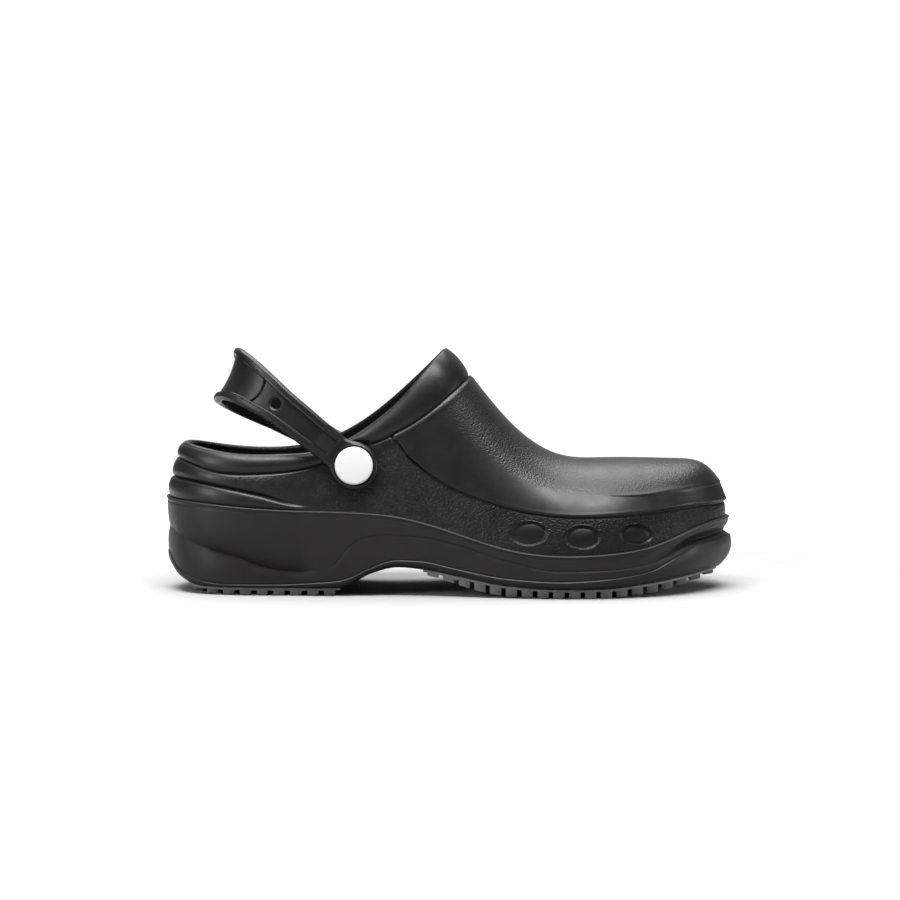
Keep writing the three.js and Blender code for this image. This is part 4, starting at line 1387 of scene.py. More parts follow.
@dataclass
class Sole:
    """Thick foam sole with its moulded side."""

    last: Last
    finish: Foam
    seat_rim: float = 6.0
    well_slope: float = 1.0
    bulge: float = 0.4
    bumper: float = 2.2
    side_swell: float = 0.22
    lip_bead: float = 0.28
    lip_line: float = 0.22
    toe_line: float = 0.28
    toe_groove: float = 2.6
    arch_crease: float = 0.16
    arch_step: float = 0.25
    lip_crease: float = 0.28
    trough: tuple[float, float] = (1.4, 2.5)
    toe_run: tuple[float, float] = (0.83, 0.93)
    columns: int = 400
    zones: tuple[int, ...] = (4, 6, 34, 32, 20, 10)

    def at_toe(self, x: Array) -> Array:
        """1 round the toe, 0 behind it."""
        return smoothstep(self.last.share(x), *self.toe_run)

    def top_lip(self, x: Array, below_top: Array) -> Array:
        """Rounded lip at the top of the side, with a fine line below it toward the toe.

        Args:
            x: Places along the shoe.
            below_top: Heights below the top edge.

        Returns:
            How far the side stands out from the upper's outline.
        """
        out = self.last.flange - 0.8 * (1.0 - smoothstep(below_top, -0.3, 0.45))
        out = out + self.lip_bead * bell(below_top - 0.7, 0.5) - self.lip_line * bell(below_top - 1.9, 0.6)
        return out - self.toe_line * smoothstep(self.last.share(x), 0.7, 0.82) * bell(below_top - 3.1, 0.6)

    def heel_trough(self, x: Array, over_wave: Array, below_top: Array) -> Array:
        """Depth of the trough that sweeps round the heel under its wavy line.

        Args:
            x: Places along the shoe.
            over_wave: Heights over the wavy line.
            below_top: Heights below the top edge.

        Returns:
            Depths below the side.
        """
        heel = 1.0 - smoothstep(x, 62.0, 79.0)
        depth = heel * lerp(*self.trough, smoothstep(x, 12.0, 46.0)) * (1.0 - 0.7 * bell(x - 9.0, 4.5))
        valley = np.exp(-np.abs(over_wave) / np.where(over_wave > 0.0, 4.6, 15.0))
        return depth * valley * smoothstep(below_top, 0.0, 5.0)

    def lower_side(self, x: Array, foot: Array) -> Array:
        """Side below the lip line: the bumper at the toe, and the tuck under the shoe.

        Args:
            x: Places along the shoe.
            foot: 0 at the lip line, 1 at the base.

        Returns:
            How far the side stands out from the upper's outline.
        """
        toe = self.at_toe(x)
        swell = np.sin(np.pi * np.clip(foot * 0.72 + 0.14, 0.0, 1.0)) ** 0.8
        swell = lerp(self.side_swell, self.bumper, toe) * swell
        tuck = self.last.lines["tuck"](x) + self.last.flange
        return self.last.flange + 0.1 + swell - tuck * foot ** 2.4 - 0.4 * toe

    def side(self, x: Array, rows: Array) -> tuple[Array, Array]:
        """Moulded side, from its top edge (row 2) by the wavy line (3) and lip line (4) to the base (5).

        Args:
            x: Places along the shoe.
            rows: Rows down the side.

        Returns:
            How far the side stands out from the upper's outline, and its height.
        """
        top, wave, lip, base = (self.last.lines[name](x) for name in ("sole_line", "wave", "lip", "base"))
        height = np.select(
            [rows <= 3.0, rows <= 4.0],
            [lerp(top, wave, rows - 2.0), lerp(wave, lip, rows - 3.0)], lerp(lip, base, rows - 4.0),
        )
        below_top, over_wave, over_lip = top - height, height - wave, height - lip
        toe = self.at_toe(x)
        arch = smoothstep(x, 83.0, 87.0) * (1.0 - toe)
        out = self.top_lip(x, below_top) - self.arch_crease * arch * bell(over_wave, 0.5)
        out = out - self.arch_step * arch * smoothstep(over_wave, 0.6, -0.6) * smoothstep(over_lip, 0.0, 6.0)
        deep = bell(over_wave, np.where(over_wave > 0.0, 3.4, 1.7))
        out = out - self.toe_groove * toe * deep * smoothstep(below_top, 2.2, 4.6)
        waist = np.clip(over_lip / np.maximum(wave - lip, 1.0), 0.0, 1.0)
        out = out + self.bulge * np.sin(np.pi * waist) * (rows > 3.0) * (rows < 4.0)
        crease = self.lip_crease * bell(over_lip, 0.5) * (1.0 - toe)
        low = self.lower_side(x, np.clip(rows - 4.0, 0.0, 1.0))
        out = np.where(rows > 4.0, low, out) - crease * (rows > 3.0)
        out = lerp(out, self.last.flange - 0.2, bell(over_lip, 0.25) * (1.0 - toe))
        return out - self.heel_trough(x, over_wave, below_top), height

    def dullness_and_shade(self, x: Array, rows: Array) -> Array:
        """Painted shade as lowered specular: most in the heel's trough and in the groove round the toe.

        Args:
            x: Places along the shoe, in millimetres.
            rows: Rows round the sole.

        Returns:
            0 for the plain skin, 1 for the dullest.
        """
        height = self.side(x, np.clip(rows, 2.0, 5.0))[1]
        over = height - self.last.lines["wave"](x)
        # Painted shade: the skin is dulled, and so darkened, over the trough and in the toe groove where
        # shade falls.
        heel = smoothstep(x, 6.0, 26.0) * (1.0 - smoothstep(x, 68.0, 77.0))
        trough = heel * np.where(over > 0.0, np.exp(-np.abs(over) / 6.0), 0.35 + 0.65 * bell(over, 1.2))
        toe = self.at_toe(x) * bell(over, np.where(over > 0.0, 2.4, 1.6))
        return np.clip(0.95 * trough + 0.85 * toe, 0.0, 1.0)

    def shape(self, turns: Array, rows: Array) -> Array:
        """Points of the whole sole.

        Args:
            turns: Turns once round the shoe, 0 to 1 from the toe.
            rows: Rows from the middle of its well (0) round to the middle of its base (6).

        Returns:
            Points, with x, y and z in the last axis.
        """
        rings = Rings(self.last)
        outline = self.last.foot(turns)[:, 0]
        lines = self.last.lines
        well = self.seat_rim + self.well_slope
        floor = rings.toward_spine(turns, -well, lines["floor"](outline), 1.0 - np.clip(rows, 0.0, 1.0))
        seat_row = np.clip(rows - 1.0, 0.0, 1.0)
        seat_out = np.interp(seat_row, (0.0, 0.5, 1.0), (-well, -self.seat_rim, self.last.flange * 0.4))
        climb = np.clip(seat_row * 2.0, 0.0, 1.0)
        seat_height = lerp(lines["floor"](outline), lines["sole_line"](outline), climb)
        seat = rings.points(turns, seat_out, seat_height)
        out, height = self.side(outline, np.clip(rows, 2.0, 5.0))
        side = rings.points(turns, out, height)
        edge = rings.points(turns, self.side(outline, np.full_like(rows, 5.0))[0], lines["base"](outline))
        spine = np.stack([edge[:, 0], lines["middle"](edge[:, 0]), edge[:, 2]], axis=1)
        under = lerp(edge, spine, np.clip(rows - 5.0, 0.0, 1.0)[:, None])
        conditions = [rows[:, None] <= 1.0, rows[:, None] < 2.0, rows[:, None] <= 5.0]
        return np.select(conditions, [floor, seat, side], under)

    def build(self) -> bpy.types.Object:
        """Makes the sole.

        Returns:
            The finished piece.
        """
        stations = zoned_rows(self.zones)
        bm = flat_grid(self.columns, len(stations) - 1)
        turns, places = flat_places(bm)
        rows = rows_at(places, stations)
        move_to(bm, self.shape(turns, rows))
        # painted shade in the trough and the toe groove
        paint(bm, DULL_AND_SHADE, self.dullness_and_shade(self.last.foot(turns)[:, 0], rows))
        close_up(bm, 4e-6)
        return settle(to_object(bm, "sole_body", self.finish.material(), 60.0), "sole", "sole")


@dataclass
class Footbed:
    """Loose footbed that cups the foot and covers the seam inside."""

    last: Last
    finish: FootbedFoam
    reach: float = 7.3
    cup: float = 4.1
    cup_from: float = 13.0
    thickness: float = 4.0
    columns: int = 220
    rows: int = 44

    def shape(self, turns: Array, places: Array) -> Array:
        """Points of the whole footbed.

        Args:
            turns: Turns once round the shoe, 0 to 1 from the toe.
            places: From the middle of the top (0), over the edge, to the middle of the underside (1).

        Returns:
            Points, with x, y and z in the last axis.
        """
        rings = Rings(self.last)
        x = self.last.foot(turns)[:, 0]
        bottom = self.last.lines["floor"](x) + 0.3
        top = bottom + self.thickness
        shelf = self.last.lines["sole_line"](x)
        rim = np.maximum(shelf + 1.4, top + 0.6)
        middle = rings.toward_spine(turns, -self.cup_from, top, 1.0 - np.clip(places / 0.4, 0.0, 1.0))
        rise = np.clip((places - 0.4) / 0.3, 0.0, 1.0)
        cup_height = lerp(top, rim, smoothstep(rise, 0.0, 1.0))
        cupped = rings.points(turns, lerp(-self.cup_from, -self.cup - 0.5, rise), cup_height)
        turn = np.clip((places - 0.7) / 0.12, 0.0, 1.0)
        edge_out = -self.cup - 0.5 * np.cos(np.pi * turn / 2.0) - 0.3 * np.sin(np.pi * turn)
        edge = rings.points(turns, edge_out, lerp(rim, shelf + 0.15, turn))
        tuck = np.clip((places - 0.82) / 0.06, 0.0, 1.0)
        under_out = np.interp(tuck, (0.0, 0.5, 1.0), (-self.cup, -self.reach + 0.6, -self.reach))
        sink = np.clip(tuck * 2.0 - 1.0, 0.0, 1.0)
        under = rings.points(turns, under_out, lerp(shelf + 0.15, bottom, sink))
        closing = rings.toward_spine(turns, -self.reach, bottom, np.clip((places - 0.88) / 0.12, 0.0, 1.0))
        p = places[:, None]
        return np.select([p <= 0.4, p <= 0.7, p <= 0.82, p <= 0.88], [middle, cupped, edge, under], closing)

    def build(self) -> bpy.types.Object:
        """Makes the footbed.

        Returns:
            The finished piece.
        """
        bm = flat_grid(self.columns, self.rows)
        turns, places = flat_places(bm)
        move_to(bm, self.shape(turns, places))
        close_up(bm, 4e-6)
        return settle(to_object(bm, "footbed", self.finish.material(), 60.0), "insole", "insole")


# The treads


@dataclass
class Tread:
    """Rubber tread: a sheet under the sole with rows of bevelled lugs."""

    last: Last
    finish: LugRubber
    name: str
    start: float
    end: float
    plate: float = 1.3
    margin: float = 1.2
    pitch: float = 7.6
    lug: float = 5.5
    lug_bevel: float = 0.55
    waist_lug: float = 2.6
    toe_spring: float = 0.72
    heel_spring: float = 0.5
    heel_run: float = 0.02
    flat_from: float = 0.655
    flat_to: float = 0.755

    def ground(self, x: Array) -> Array:
        """Height of the lugs' lower faces.

        Args:
            x: Places along the shoe, in millimetres.

        Returns:
            Their heights.
        """
        at = self.last.share(x)
        depth = self.last.lines["base"](x)
        toe = smoothstep(at, self.flat_to, 1.0) * depth * self.toe_spring
        heel = 1.0 - smoothstep(at, HEEL_TREAD[0], HEEL_TREAD[0] + self.heel_run)
        heel = heel * depth * self.heel_spring
        waist = 1.0 - smoothstep(at, FOREFOOT_TREAD[0], self.flat_from)
        waist = waist * smoothstep(at, HEEL_TREAD[1], FOREFOOT_TREAD[0])
        return np.maximum.reduce([waist * (depth - self.waist_lug), toe, heel, np.zeros_like(depth)])

    def edges(self, x: Array) -> tuple[Array, Array]:
        """Side edges of the sole's underside.

        Args:
            x: Places along the shoe, in millimetres.

        Returns:
            The edge on the outer side, then the inner one.
        """
        turns = np.linspace(0.0, 0.5, 400)
        sides = []
        for flip in (turns, 1.0 - turns):
            outline = self.last.foot(flip)[:, 0]
            lines = self.last.lines
            loop = Rings(self.last).points(flip, -lines["tuck"](outline), lines["base"](outline))
            order = np.argsort(loop[:, 0])
            sides.append(np.interp(x, loop[order, 0], loop[order, 1]))
        return sides[0] + self.margin, sides[1] - self.margin

    def sheet(self) -> bmesh.types.BMesh:
        """Plate that carries the lugs.

        Returns:
            The mesh.
        """
        bm = flat_grid(70, 14)
        along, across = flat_places(bm)
        x = lerp(self.start, self.end, 0.5 - 0.5 * np.cos(np.pi * along))
        outer, inner = self.edges(x)
        z = self.last.lines["base"](x) + 0.1
        move_to(bm, np.stack([x, lerp(outer, inner, across), z], axis=1))
        out = bmesh.ops.extrude_face_region(bm, geom=bm.faces[:])
        below = [item for item in out["geom"] if isinstance(item, bmesh.types.BMVert)]
        bmesh.ops.translate(bm, verts=below, vec=(0.0, 0.0, -self.plate * MM))
        return bm

    def lugs(self) -> list[tuple[float, float]]:
        """Middles of the lugs, in rows set half a pitch apart.

        Returns:
            Places along and across the shoe, in millimetres.
        """
        spots = []
        rows = int((self.end - self.start - 2.0) // self.pitch)
        step = (self.end - self.start - 2.0) / rows
        for row in range(rows):
            x = self.start + 1.0 + (row + 0.5) * step
            ends = np.array([x - self.lug / 2.0, x + self.lug / 2.0])
            outer, inner = self.edges(ends)
            low, high = outer.max() + self.lug / 2.0, inner.min() - self.lug / 2.0
            if high < low:
                continue
            count = max(int((high - low) // self.pitch), 1)
            spots += [(x, y) for y in np.linspace(low, high, count + 1)]
        return spots

    def build(self) -> bpy.types.Object:
        """Makes the tread.

        Returns:
            The finished piece.
        """
        bm = self.sheet()
        for x, y in self.lugs():
            cube = bmesh.ops.create_cube(bm, size=1.0)["verts"]
            low = float(self.ground(np.array(x)))
            high = float(self.last.lines["base"](np.array(x))) - self.plate + 0.5
            bmesh.ops.scale(bm, vec=(self.lug * MM, self.lug * MM, (high - low) * MM), verts=cube)
            middle = (np.array([x, y, (low + high) / 2.0]) - ORIGIN) * MM
            bmesh.ops.translate(bm, vec=Vector(middle), verts=cube)
            under = min(v.co.z for v in cube)
            for vert in cube:
                if vert.co.z < under + TINY:
                    place = np.array(vert.co.x / MM + ORIGIN[0])
                    vert.co.z = float(self.ground(place)) * MM
            rim = {e for v in cube for e in v.link_edges if not all(w.co.z > middle[2] for w in e.verts)}
            bmesh.ops.bevel(
                bm, geom=list(rim), offset=self.lug_bevel * MM, offset_type="OFFSET", affect="EDGES",
                segments=2, profile=0.5, material=-1, clamp_overlap=True,
            )
        bmesh.ops.recalc_face_normals(bm, faces=bm.faces)
        return settle(to_object(bm, f"{self.name}_lugs", self.finish.material(), 35.0), "tread", self.name)


# The heel strap and its rivets


@dataclass
class HeelStrap:
    """Foam strap that swings on two rivets, with beaded edges, a scooped heel pad and an eyelet."""

    last: Last
    finish: Foam
    reach: float = 76.5
    thickness: float = STRAP_THICKNESS
    recess: float = 1.0
    spread: float = 1.6
    bead: float = 4.2
    bead_round: float = 0.95
    edge_ridge: float = 0.3
    scoop: float = 2.3
    crescent: float = 0.6
    pad_rise: float = 0.28
    boss_radius: float = BOSS_RADIUS
    boss_stand: float = BOSS_STAND
    boss_ring: float = 0.25
    swing_outer: float = 39.0
    swing_inner: float = 27.5
    heel_lift: float = 0.5
    heel_lean: float = 24.0
    squareness: float = 2.7
    eyelet_radius: float = 2.7
    eyelet_reach: float = 49.5
    eyelet_dish: float = 0.6
    pad_at: float = 59.0
    web_end: float = 14.6
    inner_slim: float = 0.14
    heel_run: float = 16.0
    widths: tuple[tuple[float, float], ...] = (
        (0.0, 0.105), (0.2, 0.106), (0.45, 0.118), (0.7, 0.154), (1.0, 0.19),
    )
    runs: tuple[tuple[float, int], ...] = (
        (0.0, 22), (13.9, 16), (15.3, 30), (45.5, 34), (53.5, 8), (57.5, 56), (63.5, 44),
    )
    middle_run: int = 44
    zones: tuple[int, ...] = (10, 12, 8, 5, 24, 5, 8, 12)

    def seats(self) -> list[Seat]:
        """Seats of both bosses."""
        return [strap_seat(self.last, side) for side in (-1, 1)]

    def middle(self, t: Array) -> tuple[Array, Array, Array]:
        """Middle line of the strap.

        Args:
            t: From the outer pivot (-1) over the heel (0) to the inner one (1).

        Returns:
            Its points, how far they are swung up in radians, and the bosses' outward directions.
        """
        sign = np.where(t < 0.0, -1.0, 1.0)
        angle = (np.pi / 2.0) * np.clip(1.0 - np.abs(t), 0.0, 1.0) ** (self.squareness / 2.0)
        reach = self.reach * np.sin(angle) ** (2.0 / self.squareness)
        across = np.cos(angle) ** (2.0 / self.squareness) * sign
        stand = self.boss_stand + self.thickness / 2.0
        seats = self.seats()
        tops = [seat.point + seat.out * stand for seat in seats]
        centre = (tops[0] + tops[1]) / 2.0
        swing = lerp(self.swing_outer, self.swing_inner, (1.0 + across) / 2.0)
        swing = np.radians(swing + self.heel_lift * (1.0 - across ** 2))
        back = np.stack([-np.cos(swing), np.zeros_like(swing), np.sin(swing)], axis=1)
        bow = self.spread * smoothstep(reach, self.boss_radius / 2.0, self.boss_radius * 2.0)
        bow = bow + abs(tops[0][1] - centre[1])
        level = np.full_like(t, centre[0]), centre[1] + across * bow, np.full_like(t, centre[2])
        points = np.stack(level, axis=1) + back * reach[:, None]
        outer = (t < 0.0)[:, None]
        out = np.where(outer, seats[0].out, seats[1].out)
        away = points - np.where(outer, tops[0], tops[1])
        flat = 1.0 - smoothstep(np.linalg.norm(away, axis=1), self.boss_radius, self.boss_radius * 2.0)
        points = points - out * (np.sum(away * out, axis=1) * flat)[:, None]
        return points, swing, out

    def path(self) -> tuple[dict[str, Array], float]:
        """Frames along the strap, with the round ends past both pivots.

        Returns:
            The frames, and the length between the pivots.
        """
        t = np.linspace(-1.0, 1.0, 1601)
        points, swing, out = self.middle(t)
        ahead = unit(np.gradient(points, axis=0))
        lean = smoothstep(np.abs(t), 0.55, 1.0)[:, None]
        tilt = lerp(math.radians(self.heel_lean), swing, smoothstep(np.abs(t), 0.1, 0.75))
        wide = np.stack([np.sin(tilt), np.zeros_like(t), np.cos(tilt)], axis=1)
        leaning = unit(wide - out * np.sum(wide * out, axis=1)[:, None])
        wide = lerp(wide, leaning, lean)
        wide = unit(wide - ahead * np.sum(wide * ahead, axis=1)[:, None])
        length = np.concatenate([[0.0], np.cumsum(np.linalg.norm(np.diff(points, axis=0), axis=1))])
        half = self.reach * np.interp(1.0 - np.abs(t), *zip(*self.widths))
        frames = {"points": points, "ahead": ahead, "wide": wide, "half": half}
        spare = np.array([self.boss_radius])
        for end, sign in ((0, -1.0), (-1, 1.0)):
            extra = {
                "points": points[end] + ahead[end] * sign * self.boss_radius,
                "ahead": ahead[end], "wide": wide[end], "half": half[end],
            }
            for name, value in extra.items():
                pair = [np.array([value]), frames[name]] if sign < 0.0 else [frames[name], np.array([value])]
                frames[name] = np.concatenate(pair)
        frames["length"] = np.concatenate([-spare, length, length[-1] + spare])
        return frames, float(length[-1])

    def at(self, frames: dict[str, Array], length: Array) -> dict[str, Array]:
        """Frames at lengths along the strap.

        Args:
            frames: The frames.
            length: Lengths along the strap.

        Returns:
            The frames there.
        """
        found = {"length": length}
        for name in ("points", "ahead", "wide"):
            parts = [np.interp(length, frames["length"], frames[name][:, a]) for a in range(3)]
            found[name] = np.stack(parts, axis=1)
        found["half"] = np.interp(length, frames["length"], frames["half"])
        return found

    def half_width(self, half: Array, away: Array, past: Array, inner: Array) -> Array:
        """Half width: the round boss flows into the arm with a fillet, and the inner arm is slimmer.

        Args:
            half: The arm's own half width.
            away: Distances from the nearer pivot.
            past: Whether a place is past a pivot.
            inner: Whether it is on the inner arm.

        Returns:
            Half widths.
        """
        disc = np.sqrt(np.clip(self.boss_radius ** 2 - away ** 2, 0.004, None))
        slim = np.where(inner, self.inner_slim, 0.0) * (1.0 - smoothstep(away, 16.0, 36.0))
        arm = half * (1.0 - slim) - 7.0 * (1.0 - smoothstep(away, 0.0, 5.0))
        soft = np.where(inner, 0.8, 1.5)
        flow = soft * np.logaddexp(disc / soft, arm / soft)
        return np.where(past, disc, flow)

    def stations(self, total: float) -> Array:
        """Places of the cross sections, closest together where the relief is crisp.

        Args:
            total: Length between the pivots.

        Returns:
            Lengths along the strap.
        """
        ends = [-self.boss_radius + self.boss_radius * (1.0 - np.cos(np.pi / 2.0 * np.arange(18) / 18.0))]
        heel_start = total / 2.0 - self.heel_run
        for (start, count), stop in zip(self.runs, [run[0] for run in self.runs[1:]] + [heel_start]):
            ends.append(lerp(start, stop, np.arange(count) / count))
        steps = self.middle_run // 2
        ends.append(lerp(heel_start, total / 2.0, np.arange(steps + 1) / steps))
        near = np.concatenate(ends)
        return np.concatenate([near, total - near[-2::-1]])

    def outside(self, w: Array, half: Array, away: Array, web: Array) -> Array:
        """Height of the outer face over the strap's middle, across its width.

        Args:
            w: Places across the width.
            half: Half widths.
            away: Distances from the nearer pivot.
            web: 1 on the sunk web, 0 on the edges.

        Returns:
            Heights over the middle.
        """
        inset = half - np.abs(w)
        high = self.thickness / 2.0
        heel = smoothstep(away, self.pad_at, self.pad_at + 22.0)
        open_web = smoothstep(away, self.web_end - 0.3, self.web_end + 0.3)
        step = self.recess * web * open_web
        ridge = self.edge_ridge * bell(inset - self.bead + 0.4, 0.3) * open_web * (1.0 - heel)
        arm = high - step + ridge
        sag = 1.0 - np.clip(np.abs(w) / np.maximum(half - self.bead, 1.0), 0.0, 1.0) ** 2
        arc = np.clip(1.0 - ((inset - 2.0) / 2.3) ** 2, 0.0, 1.0) ** 0.5
        round_bead = high + self.bead_round * arc
        scooped = high - 0.7 - (self.scoop - 1.2) * sag
        pad = np.where(inset < self.bead - 0.6, np.maximum(round_bead, scooped), scooped)
        past_line = away - self.pad_at - 1.9 * (w / 6.6) ** 2
        groove = self.crescent * bell(past_line, 0.34) * (1.0 - smoothstep(np.abs(w), 6.3, 7.0))
        raised = self.pad_rise * smoothstep(past_line, -0.2, 0.3) * web * (1.0 - heel)
        return lerp(arm, pad, heel) - groove + raised

    def section(self, spot: dict[str, Array], rows: Array, total: float) -> tuple[Array, Array]:
        """Cross sections of the strap.

        Args:
            spot: Frames along the strap.
            rows: Rows once round the section, 0 to 8.
            total: Length between the pivots.

        Returns:
            Places across the width, and heights over the middle.
        """
        away = np.minimum(np.abs(spot["length"]), np.abs(total - spot["length"]))
        past = (spot["length"] < 0.0) | (spot["length"] > total)
        half = self.half_width(spot["half"], away, past, spot["length"] > total / 2.0)
        high = self.thickness / 2.0
        soft = np.minimum(high, half * 0.5)
        bead = np.minimum(self.bead, half * 0.8)
        step = np.minimum(0.4, half * 0.1)
        part = rows - np.floor(rows)
        zone = np.floor(rows).astype(int) % 8
        turn = np.pi * part
        lower = half - soft
        up_side = [lower + soft * np.sin(turn), lerp(lower, half - bead, part), half - bead - step * part]
        web = half - bead - step
        w = np.select(
            [zone == 0, zone == 1, zone == 2, zone == 3, zone == 4, zone == 5, zone == 6],
            [
                lerp(-lower, lower, part), up_side[0], up_side[1], up_side[2], lerp(web, -web, part),
                -(web + step * part), -lerp(half - bead, lower, part),
            ],
            -up_side[0],
        )
        ramp = smoothstep(part, 0.0, 1.0)
        flat = np.select([zone == 3, zone == 4, zone == 5], [ramp, 1.0, 1.0 - ramp], 0.0)
        face = self.outside(np.sign(w) * np.minimum(np.abs(w), half), half, away, flat)
        edge = self.outside(lower, half, away, np.zeros_like(w))
        belly = -high + 0.35 * smoothstep(away, 60.0, 80.0) * (np.abs(w) / half) ** 2
        turning = np.where(zone == 1, (1.0 - np.cos(turn)) / 2.0, (1.0 + np.cos(turn)) / 2.0)
        n = np.select([zone == 0, (zone == 1) | (zone == 7)], [belly, lerp(-high, edge, turning)], face)
        ring = self.boss_ring * bell(np.hypot(away, w) - self.boss_radius + 1.4, 0.45)
        ring = ring * (away < self.boss_radius * 1.3)
        from_eyelet = np.hypot(away - self.eyelet_reach, w) - self.eyelet_radius
        dish = self.eyelet_dish * (1.0 - smoothstep(from_eyelet, 0.0, 0.8))
        dish = dish * (spot["length"] < total / 2.0)
        return w, n + np.where((zone > 1) & (zone < 7), ring - dish, 0.0)

    def build(self) -> bpy.types.Object:
        """Makes the strap and cuts its eyelet.

        Returns:
            The finished piece.
        """
        frames, total = self.path()
        places = self.stations(total)
        rings = [zone + np.arange(count) / count for zone, count in enumerate(self.zones)]
        rows = np.concatenate(rings + [[8.0]])
        bm = flat_grid(len(places) - 1, len(rows) - 1)
        along, around = flat_places(bm)
        column = np.rint(along * (len(places) - 1)).astype(int)
        row = np.rint(around * (len(rows) - 1)).astype(int)
        spot = self.at(frames, places[column])
        w, n = self.section(spot, rows[row], total)
        wide = unit(spot["wide"])
        out = unit(np.cross(wide, spot["ahead"]))
        move_to(bm, spot["points"] + wide * w[:, None] + out * n[:, None])
        close_up(bm, 4e-6)
        for end in (0, -1):
            tip = (frames["points"][end] - ORIGIN) * MM
            rim = [e for e in bm.edges if e.is_boundary and (e.verts[0].co - Vector(tip)).length < 6.0 * MM]
            bmesh.ops.holes_fill(bm, edges=rim, sides=0)
        bmesh.ops.recalc_face_normals(bm, faces=bm.faces)
        piece = to_object(bm, "heel_band", self.finish.material(), 50.0)
        self.cut_eyelet(piece, self.at(frames, np.array([self.eyelet_reach])))
        return settle(piece, "strap", "heel_strap")

    def cut_eyelet(self, piece: bpy.types.Object, spot: dict[str, Array]) -> None:
        """Cuts the small round hole through the outer arm.

        Args:
            piece: The strap.
            spot: Frame where the hole goes.
        """
        bm = bmesh.new()
        bmesh.ops.create_cone(
            bm, cap_ends=True, segments=48, depth=24.0,
            radius1=self.eyelet_radius, radius2=self.eyelet_radius,
        )
        forward, upward, out = np.array([[1.0, 0.0, 0.0], [0.0, 0.0, 1.0], [0.0, -1.0, 0.0]])
        seat_on(bm, Seat(spot["points"][0], forward, upward, out))
        mesh = bpy.data.meshes.new("eyelet_cutter")
        bm.to_mesh(mesh)
        bm.free()
        cutter = bpy.data.objects.new("eyelet_cutter", mesh)
        bpy.context.scene.collection.objects.link(cutter)
        cut = piece.modifiers.new("eyelet", "BOOLEAN")
        cut.operation = "DIFFERENCE"
        cut.solver = "EXACT"
        cut.object = cutter
        graph = bpy.context.evaluated_depsgraph_get()
        made = bpy.data.meshes.new_from_object(piece.evaluated_get(graph))
        piece.modifiers.clear()
        piece.data = made
        made.set_sharp_from_angle(angle=math.radians(50.0))
        bpy.data.objects.remove(cutter)


@dataclass
class Rivet:
    """Snap rivet through a boss, with a round head inside and a pale button outside."""

    last: Last
    finish: ButtonPlastic
    button: ButtonPlastic
    side: int
    wall: float = WALL
    boss_stand: float = BOSS_STAND
    strap_thickness: float = STRAP_THICKNESS
    shank_radius: float = 3.4
    head_radius: float = 7.0
    head_thickness: float = 1.6
    button_radius: float = 9.2
    button_thickness: float = 2.2

    @property
    def place(self) -> str:
        """Side of the shoe in words."""
        return "outer" if self.side < 0 else "inner"

    def build_shank(self) -> bpy.types.Object:
        """Makes the shank and its inner head.

        Returns:
            The finished piece.
        """
        inside = -self.wall - self.boss_stand
        top = self.boss_stand + self.strap_thickness
        r = self.head_radius
        profile = [
            (0.0, inside - self.head_thickness), (r * 0.45, inside - self.head_thickness * 0.97),
            (r * 0.78, inside - self.head_thickness * 0.82), (r * 0.93, inside - self.head_thickness * 0.55),
            (r, inside - self.head_thickness * 0.2), (r * 0.99, inside), (self.shank_radius + 0.3, inside),
            (self.shank_radius, inside + 0.3), (self.shank_radius, top), (0.0, top),
        ]
        bm = turned(profile, 64)
        seat_on(bm, strap_seat(self.last, self.side))
        piece = to_object(bm, f"rivet_head_{self.place}", self.finish.material(), 40.0)
        return settle(piece, "rivet", f"rivet_{self.place}")

    def build_button(self) -> bpy.types.Object:
        """Makes the button over the rivet: a low plain dome with a rounded edge.

        Returns:
            The finished piece.
        """
        low = self.boss_stand + self.strap_thickness + 0.3
        high = low + self.button_thickness
        r = self.button_radius
        profile = [
            (0.0, low), (r - 0.5, low), (r - 0.15, low + 0.1), (r, low + 0.4), (r, high - 1.1),
            (r - 0.12, high - 0.75), (r - 0.4, high - 0.52), (r - 0.9, high - 0.4),
            (r - 1.6, high - 0.32), (r * 0.6, high - 0.12), (r * 0.3, high - 0.03), (0.0, high),
        ]
        bm = turned(profile, 96)
        seat_on(bm, strap_seat(self.last, self.side))
        piece = to_object(bm, f"button_{self.place}", self.button.material(), 40.0)
        return settle(piece, "cap", f"cap_{self.place}")


# The studio


@dataclass(frozen=True)
class Softbox:
    """Rectangular light that faces the shoe: its place and size in metres, and its power in watts."""

    name: str
    place: tuple[float, float, float]
    size: tuple[float, float]
    power: float


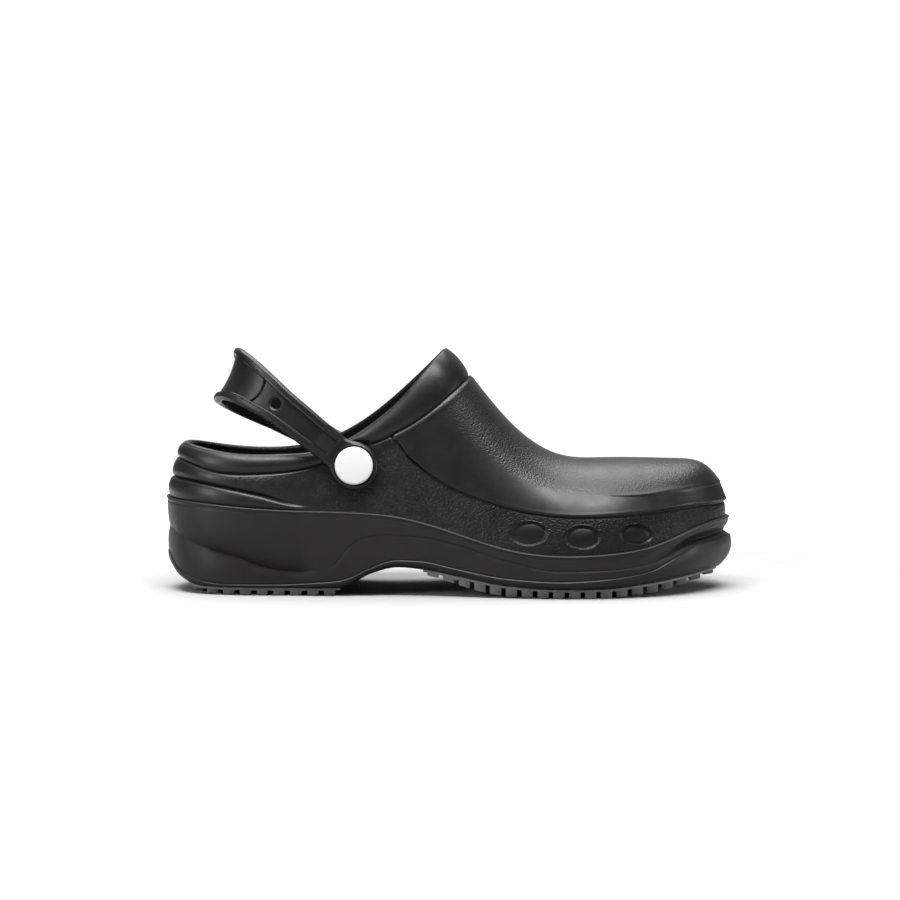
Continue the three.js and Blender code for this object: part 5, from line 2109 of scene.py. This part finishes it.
@dataclass
class Studio:
    """Pale floor, soft lights and the camera."""

    distance: float = 1.2
    elevation: float = 4.0
    lens: float = 96.0
    target_height: float = 0.062
    shift: tuple[float, float] = (0.0006, 0.0153)
    floor_reach: float = 0.75
    ambient: float = 0.13
    backdrop: float = 1.05
    sun_power: float = 5.8
    sun_angle: float = 60.0
    sun_tilt: float = -19.0
    softboxes: tuple[Softbox, ...] = (
        Softbox("front_softbox", (-0.05, -0.5, 1.18), (1.1, 0.4), 46.0),
        Softbox("back_panel", (0.0, 1.3, 0.6), (2.2, 1.1), 2.0),
        Softbox("left_strip", (-1.1, -0.75, 0.5), (0.3, 0.7), 11.0),
        Softbox("right_strip", (1.4, -0.25, 0.35), (0.25, 0.5), 7.0),
    )

    def floor(self) -> None:
        """Makes the round level floor."""
        bm = bmesh.new()
        bmesh.ops.create_circle(bm, cap_ends=True, segments=96, radius=self.floor_reach)
        to_object(bm, "studio_floor", StudioPaper().material(), 60.0)

    def lamp(self, box: Softbox) -> None:
        """Adds one soft light that faces the shoe.

        Args:
            box: The light.
        """
        data = bpy.data.lights.new(box.name, "AREA")
        data.shape = "RECTANGLE"
        data.size, data.size_y = box.size
        data.energy = box.power
        lamp = bpy.data.objects.new(box.name, data)
        lamp.location = box.place
        aim = Vector((0.0, 0.0, 0.05)) - Vector(box.place)
        lamp.rotation_mode = "QUATERNION"
        lamp.rotation_quaternion = aim.to_track_quat("-Z", "Y")
        bpy.context.scene.collection.objects.link(lamp)

    def lights(self) -> None:
        """Adds a wide sun from above and a little behind, the softboxes and the white surroundings."""
        data = bpy.data.lights.new("overhead", "SUN")
        data.energy = self.sun_power
        data.angle = math.radians(self.sun_angle)
        overhead = bpy.data.objects.new("overhead", data)
        overhead.rotation_euler = (math.radians(self.sun_tilt), 0.0, 0.0)
        bpy.context.scene.collection.objects.link(overhead)
        for box in self.softboxes:
            self.lamp(box)
        self.surroundings()
        bpy.context.scene.view_settings.view_transform = "Standard"

    def surroundings(self) -> None:
        """Adds a world that is white to the camera and dimmer as light."""
        world = bpy.data.worlds.new("studio")
        bpy.context.scene.world = world
        world.use_nodes = True
        tree = world.node_tree
        seen = tree.nodes["Background"]
        seen.inputs["Strength"].default_value = self.backdrop
        seen.inputs["Color"].default_value = (1.0, 1.0, 1.0, 1.0)
        light = tree.nodes.new("ShaderNodeBackground")
        light.inputs["Strength"].default_value = self.ambient
        light.inputs["Color"].default_value = (1.0, 1.0, 1.0, 1.0)
        path = tree.nodes.new("ShaderNodeLightPath")
        mix = tree.nodes.new("ShaderNodeMixShader")
        tree.links.new(path.outputs["Is Camera Ray"], mix.inputs["Fac"])
        tree.links.new(light.outputs["Background"], mix.inputs[1])
        tree.links.new(seen.outputs["Background"], mix.inputs[2])
        tree.links.new(mix.outputs["Shader"], tree.nodes["World Output"].inputs["Surface"])

    def camera(self) -> None:
        """Adds the camera at the photograph's angle."""
        data = bpy.data.cameras.new("camera")
        data.lens = self.lens
        data.sensor_width = 36.0
        data.shift_x, data.shift_y = self.shift
        camera = bpy.data.objects.new("camera", data)
        tilt = math.radians(self.elevation)
        back = Vector((0.0, -math.cos(tilt), math.sin(tilt)))
        camera.location = Vector((0.0, 0.0, self.target_height)) + back * self.distance
        camera.rotation_mode = "QUATERNION"
        camera.rotation_quaternion = (-back).to_track_quat("-Z", "Y")
        bpy.context.scene.collection.objects.link(camera)
        bpy.context.scene.camera = camera

    def build(self) -> None:
        """Sets up the floor, the lights and the camera."""
        self.floor()
        self.lights()
        self.camera()


def main() -> None:
    """Builds the clog piece by piece, then the studio round it."""
    logging.basicConfig(level=logging.INFO, format="%(message)s")
    last = Last()
    black = Foam("upper foam", (0.0032, 0.0032, 0.0033), (0.0052, 0.0052, 0.0053), 0.37, Grain.MASKED)
    sole_black = Foam("sole foam", (0.0046, 0.0044, 0.0040), (0.0070, 0.0067, 0.0061), 0.44)
    strap_black = Foam("strap foam", (0.0024, 0.0024, 0.0025), (0.0040, 0.0040, 0.0041), 0.38)
    Upper(last, black).build()
    Sole(last, sole_black).build()
    Footbed(last, FootbedFoam()).build()
    for name, ends in (("heel_tread", HEEL_TREAD), ("forefoot_tread", FOREFOOT_TREAD)):
        start, end = (last.flange + share * last.span for share in ends)
        Tread(last, LugRubber(), name, start, end).build()
    HeelStrap(last, strap_black).build()
    shank = ButtonPlastic("rivet plastic", (0.012, 0.012, 0.012), (0.018, 0.018, 0.018), 0.4)
    pale = ButtonPlastic("button plastic", (0.36, 0.36, 0.357), (0.38, 0.38, 0.377), 0.34)
    for side in (-1, 1):
        rivet = Rivet(last, shank, pale, side)
        rivet.build_shank()
        rivet.build_button()
    Studio().build()


if __name__ == "__main__":
    main()
